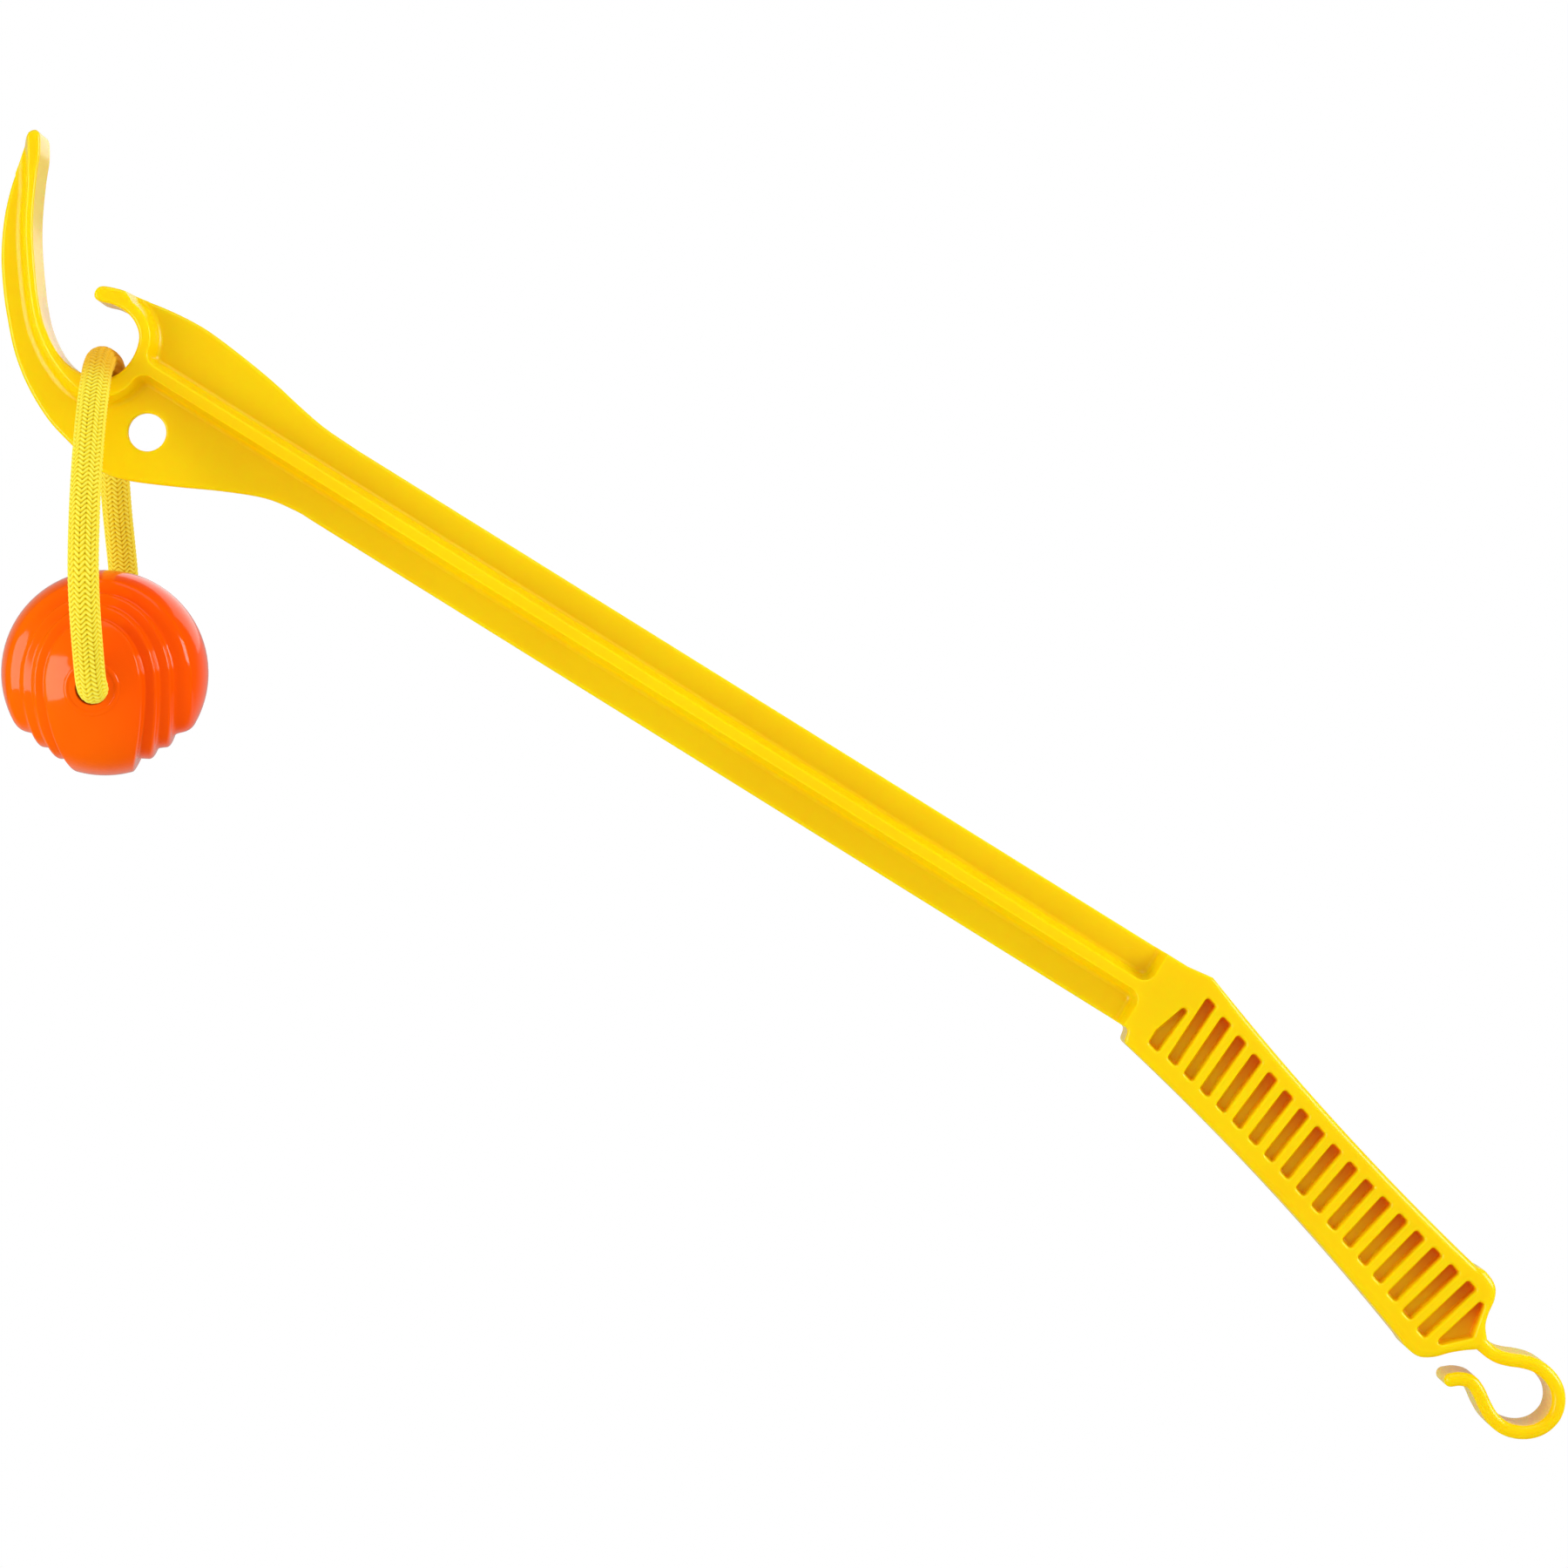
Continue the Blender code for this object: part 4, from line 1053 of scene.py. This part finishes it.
def soften(obj, angle):
    """Smooth shading with crisp edges above an angle, led by the large faces."""
    obj.data.shade_smooth()
    obj.data.set_sharp_from_angle(angle=angle)
    modifier = obj.modifiers.new("even_shading", "WEIGHTED_NORMAL")
    modifier.keep_sharp = True
    modifier.weight = 60


def dress(obj, look):
    obj.data.materials.clear()
    obj.data.materials.append(look)


def make_launcher(look):
    outline = launcher_outline()
    launcher = round_slab("launcher_moulding", outline, DEPTH / 2, GRIP_ROUND, edge_round)
    inner = offset_loop(outline, -WEB_SHRINK)
    web = round_slab("web", inner, WEB_THICKNESS / 2, WEB_EDGE_ROUND, lambda place: WEB_EDGE_ROUND)
    helpers = [recess_cutters(), web, slot_cutters(), hole_cutter()]
    for helper in helpers:
        combine(launcher, helper, "UNION" if helper is web else "DIFFERENCE")
    settle(launcher, *helpers)
    soften(launcher, CRISP_ANGLE)
    dress(launcher, look)
    return launcher


def loop_place():
    """The point of the saddle over which the rope hangs."""
    seat = saddle()
    return Vector((seat.x + ROPE_SIDE_STEP, 0, seat.y))


def ball_place():
    return loop_place() - Vector((0, 0, BALL_DROP))


def route(shares, side):
    return [Vector((0, side * out, up)) * LOOP_SIZE for out, up in shares]


def reaches(points):
    """How far along a line each of its points lies."""
    reach = [0.0]
    for a, b in zip(points, points[1:]):
        reach.append(reach[-1] + (b - a).length)
    return reach


def evenly(points, count):
    """Points at even distances along a dense line, with both ends kept."""
    reach = reaches(points)
    found = []
    index = 0
    for k in range(count + 1):
        target = reach[-1] * k / count
        while index < len(reach) - 2 and reach[index + 1] < target:
            index += 1
        span = reach[index + 1] - reach[index]
        found.append(points[index].lerp(points[index + 1], (target - reach[index]) / span))
    return found


def rope_line():
    """The rope's middle line from the knot up the front leg, over the saddle and down the back leg."""
    front = route(FRONT_ROUTE_SHARES, -1)
    back = route(BACK_ROUTE_SHARES, 1)
    bight = route(BIGHT_ROUTE_SHARES[:0:-1], -1) + route(BIGHT_ROUTE_SHARES, 1)
    place = loop_place()
    line = [p + place for p in smooth(front[::-1] + bight + back, ROPE_SPAN_STEPS)]
    for point in line:
        drop = (place.z - point.z) / LOOP_SIZE
        if point.y < 0:
            point.x += ROPE_FRONT_DRIFT * smooth_step(drop)
        else:
            fall = smooth_step((drop - BACK_DRIFT_HOLD_SHARE) / BACK_DRIFT_FALL_SHARE)
            point.x -= ROPE_BACK_DRIFT * smooth_step(drop / BACK_DRIFT_RISE_SHARE) * (1 - fall)
    return line


def stitches(turns, along):
    """The braid's relief, from 0 in the creases to 1 on a stitch, and the place along the slanting
    stitches, for turns round the rope and stitches along it."""
    column = turns * STITCH_COLUMNS
    across = column - np.floor(column)
    leaning = np.abs(((column / 2) % 1.0) * 2 - 1)
    phase = along + STITCH_SLANT * leaning
    place = phase - np.floor(phase)
    off_crease = np.minimum(place, 1 - place)
    edge = np.abs(across * 2 - 1)
    width = CREASE_WIDTH + CREASE_WIDENING * edge ** 2
    crease = np.exp(-(off_crease / width) ** 2) * (CREASE_DEPTH + CREASE_DEEPENING * edge ** 2)
    seam = edge ** SEAM_SHARPNESS * SEAM_DEPTH
    return np.clip(1 - crease - seam, 0, 1), phase


def rope_skin(line):
    """A ring of points round each point of the rope's line, and each one's weave, fibre and painted shade.
    """
    count = len(line)
    places = np.array([tuple(p) for p in line])
    ahead = np.gradient(places, axis=0)
    ahead /= np.linalg.norm(ahead, axis=1)[:, None]
    side = np.array((1.0, 0.0, 0.0))
    outward = np.cross(side, ahead)
    turns = np.arange(ROPE_ROUND_STEPS) / ROPE_ROUND_STEPS
    row = np.arange(count)[:, None]
    twisted = turns[None, :] + (row / count - 0.5) * (ROPE_TURN / (2 * math.pi))
    weave, fibre = stitches(twisted, row / STITCH_ROWS)
    radius = ROPE_DIAMETER / 2 - ROPE_SLIM - STITCH_HEIGHT * (1 - weave)
    angle = turns * 2 * math.pi
    ring = np.sin(angle)[None, :, None] * side - np.cos(angle)[None, :, None] * outward[:, None, :]
    # Painted shade: a deeper golden colour over the saddle's top, and on the back leg's right side, where it
    # also stands for orange light reflected from the ball and the launcher.
    back = smooth_step(places[:, 1] / ROPE_SHADE_REACH + 0.5)[:, None]
    top = smooth_step((places[:, 2] - loop_place().z + ROPE_SHADE_DROP) / ROPE_SHADE_RISE)[:, None]
    gold = np.clip(TOP_PAINTED_SHADE * top + BACK_PAINTED_SHADE * back * smooth_step(np.sin(angle))[None, :], 0, 1)
    return places[:, None, :] + ring * radius[:, :, None], {"weave": weave, "fibre": fibre, "gold": gold}


def rope_mesh(line):
    verts, marks = rope_skin(line)
    steps = ROPE_ROUND_STEPS
    last = (len(line) - 1) * steps
    rows = np.arange(0, last, steps)[:, None]
    here = np.arange(steps)[None, :]
    beside = (here + 1) % steps
    quads = np.stack((rows + here, rows + steps + here, rows + steps + beside, rows + beside), axis=-1)
    faces = quads.reshape(-1, 4).tolist()
    faces += [list(range(steps)), list(range(last, last + steps))[::-1]]
    mesh = bpy.data.meshes.new("rope_loop")
    mesh.from_pydata(verts.reshape(-1, 3).tolist(), [], faces)
    for name, values in marks.items():
        attribute = mesh.attributes.new(name, "FLOAT", "POINT")
        attribute.data.foreach_set("value", values.reshape(-1).astype(np.float32))
    mesh.shade_smooth()
    return mesh


def make_rope(look):
    dense = rope_line()
    length = reaches(dense)[-1]
    line = evenly(dense, STITCH_ROWS * round(length / STITCH_PITCH))
    rope = add_object("rope_loop", rope_mesh(line))
    dress(rope, look)
    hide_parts("rope_bight", "rope_front_leg", "rope_back_leg")
    swing = loop_place()
    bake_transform(rope)


def turned(profile, closed=False):
    """A solid turned about Y from (radius, y) points. An open line starts and ends on the axis."""
    bm = bmesh.new()
    verts = [bm.verts.new((radius, y, 0)) for radius, y in profile]
    edges = [bm.edges.new(pair) for pair in zip(verts, verts[1:] + verts[:closed])]
    bmesh.ops.spin(
        bm, geom=verts + edges, cent=(0, 0, 0), axis=(0, 1, 0), dvec=(0, 0, 0),
        angle=2 * math.pi, steps=TURN_STEPS, use_merge=True, use_duplicate=False,
    )
    bmesh.ops.remove_doubles(bm, verts=bm.verts, dist=MERGE_DISTANCE)
    return bm


def ridge_quarter(top, side, foot):
    """A quarter of a ridge line on the unit ball: from over the front mouth, down the right side, to the
    underside. It is an arch above the bore, and leans in below it."""
    wide = math.sin(math.radians(side))
    high = math.sin(math.radians(top))
    foot_x = math.sin(math.radians(foot))
    foot_z = math.cos(math.radians(foot))
    spots = []
    for k in range(RIDGE_STEPS):
        angle = math.pi / 2 * k / RIDGE_STEPS
        spots.append((wide * math.sin(angle), high * math.cos(angle)))
    for k in range(RIDGE_STEPS + 1):
        share = math.sin(math.pi / 2 * k / RIDGE_STEPS)
        spots.append((wide - (wide - foot_x) * share * share, -foot_z * share))
    return [Vector((x, -math.sqrt(max(0.0, 1 - x * x - z * z)), z)) for x, z in spots]


def whole_ridge(quarter):
    """The closed ridge line: its quarter, mirrored to the back and then to the left."""
    right = quarter + [Vector((p.x, -p.y, p.z)) for p in quarter[-2::-1]]
    left = [Vector((-p.x, p.y, p.z)) for p in right[-2:0:-1]]
    return right + left


def groove_profile():
    """Ridge lines from the inner band to the outer cap: the three angles and the depth of each, in degrees
    and metres, with round crests and grooves."""
    lines = [np.array(line) for line in RIDGE_LINES]
    inner, outer = lines[0], lines[-1]
    start = np.array((INNER_BAND_TOP, 0.0, 0.0, 0.0))
    rows = [start + (inner - start) * k / INNER_BAND_RINGS for k in range(INNER_BAND_RINGS)]
    rim = np.array((90.0, 90.0, 90.0, 0.0))
    chain = [rows[-1], *lines, rim]
    for before, corner, after in zip(chain, chain[1:], chain[2:]):
        first = (before - corner) * min(CREST_SHARE, CREST_ROOM / (corner[0] - before[0]))
        last = (after - corner) * min(CREST_SHARE, CREST_ROOM / (after[0] - corner[0]))
        for k in range(CREST_RINGS + 1):
            t = k / CREST_RINGS
            rows.append(corner + (1 - t) ** 2 * first + t * t * last)
    rows += [outer + (rim - outer) * k / OUTER_CAP_RINGS for k in range(1, OUTER_CAP_RINGS + 1)]
    return rows


def ball_solid():
    """The ridged ball: one closed edge loop for each ridge line, each bridged to the next. The first and
    the last loop are folded flat on themselves, and their doubles are merged."""
    bm = bmesh.new()
    rings = []
    for top, side, foot, depth in groove_profile():
        line = whole_ridge(ridge_quarter(top, side, foot))
        verts = [bm.verts.new(p * (BALL_RADIUS - depth)) for p in line]
        rings.append([bm.edges.new(pair) for pair in zip(verts, verts[1:] + verts[:1], strict=True)])
    for one, two in zip(rings, rings[1:]):
        bmesh.ops.bridge_loops(bm, edges=one + two)
    bmesh.ops.remove_doubles(bm, verts=bm.verts, dist=FOLD_MERGE_DISTANCE)
    return bm


def bore_cutter():
    """The bore with its round lips and the hollow for the knot, turned about the bore's axis."""
    lip = lip_arc(BORE_RADIUS, LIP_ROUND, BALL_RADIUS, LIP_STEPS)
    start = math.asin(BORE_RADIUS / CAVITY_RADIUS)
    hollow = []
    for k in range(HOLLOW_STEPS + 1):
        angle = start + (math.pi - 2 * start) * k / HOLLOW_STEPS
        hollow.append((CAVITY_RADIUS * math.sin(angle), -CAVITY_RADIUS * math.cos(angle)))
    outer = (BORE_RADIUS + LIP_ROUND, BALL_RADIUS + CUT_OVERRUN)
    front = [(0, -outer[1]), (outer[0], -outer[1]), *((r, -y) for r, y in reversed(lip))]
    profile = [*front, *hollow, *lip, outer, (0, outer[1])]
    return add_mesh("bore_cutter", turned(profile))


def mouth_rings():
    """A low round ring about each mouth of the bore."""
    surface = math.sqrt(BALL_RADIUS ** 2 - MOUTH_RING_RADIUS ** 2)
    middle = surface + MOUTH_RING_HEIGHT - MOUTH_RING_ROUND
    circle = []
    for k in range(MOUTH_RING_STEPS):
        angle = 2 * math.pi * k / MOUTH_RING_STEPS
        out = MOUTH_RING_ROUND * math.cos(angle)
        circle.append((MOUTH_RING_RADIUS + out, middle + MOUTH_RING_ROUND * math.sin(angle)))
    rings = turned(circle, closed=True)
    copied = bmesh.ops.duplicate(rings, geom=rings.verts[:] + rings.edges[:] + rings.faces[:])["geom"]
    front = [part for part in copied if isinstance(part, bmesh.types.BMVert)]
    bmesh.ops.scale(rings, verts=front, vec=(1, -1, 1))
    return add_mesh("mouth_ring", rings)


def make_ball(look):
    ball = add_mesh("ball_ridged", ball_solid())
    rings = mouth_rings()
    cutter = bore_cutter()
    combine(ball, rings, "UNION")
    combine(ball, cutter, "DIFFERENCE")
    settle(ball, rings, cutter)
    drop_slivers(ball)
    ball.data.transform(Matrix.Translation(ball_place()) @ Matrix.Rotation(BORE_FALL, 4, "X"))
    soften(ball, BALL_CRISP_ANGLE)
    dress(ball, look)
    return ball


def main():
    scene = bpy.context.scene
    scene.view_settings.view_transform = "Standard"
    make_camera()
    make_world()
    make_stage()
    make_rope(braided_rope())
    dress(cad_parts["rope_knot"], knotted_rope())
    ball = make_ball(orange_rubber())
    launcher = make_launcher(yellow_plastic())
    for piece, body, node, slot in (
        (ball, "ball_body", "ball", "ball_rubber"),
        (launcher, "launcher_body", "launcher", "launcher_plastic"),
    ):
        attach(piece, body)
        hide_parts(node)


main()
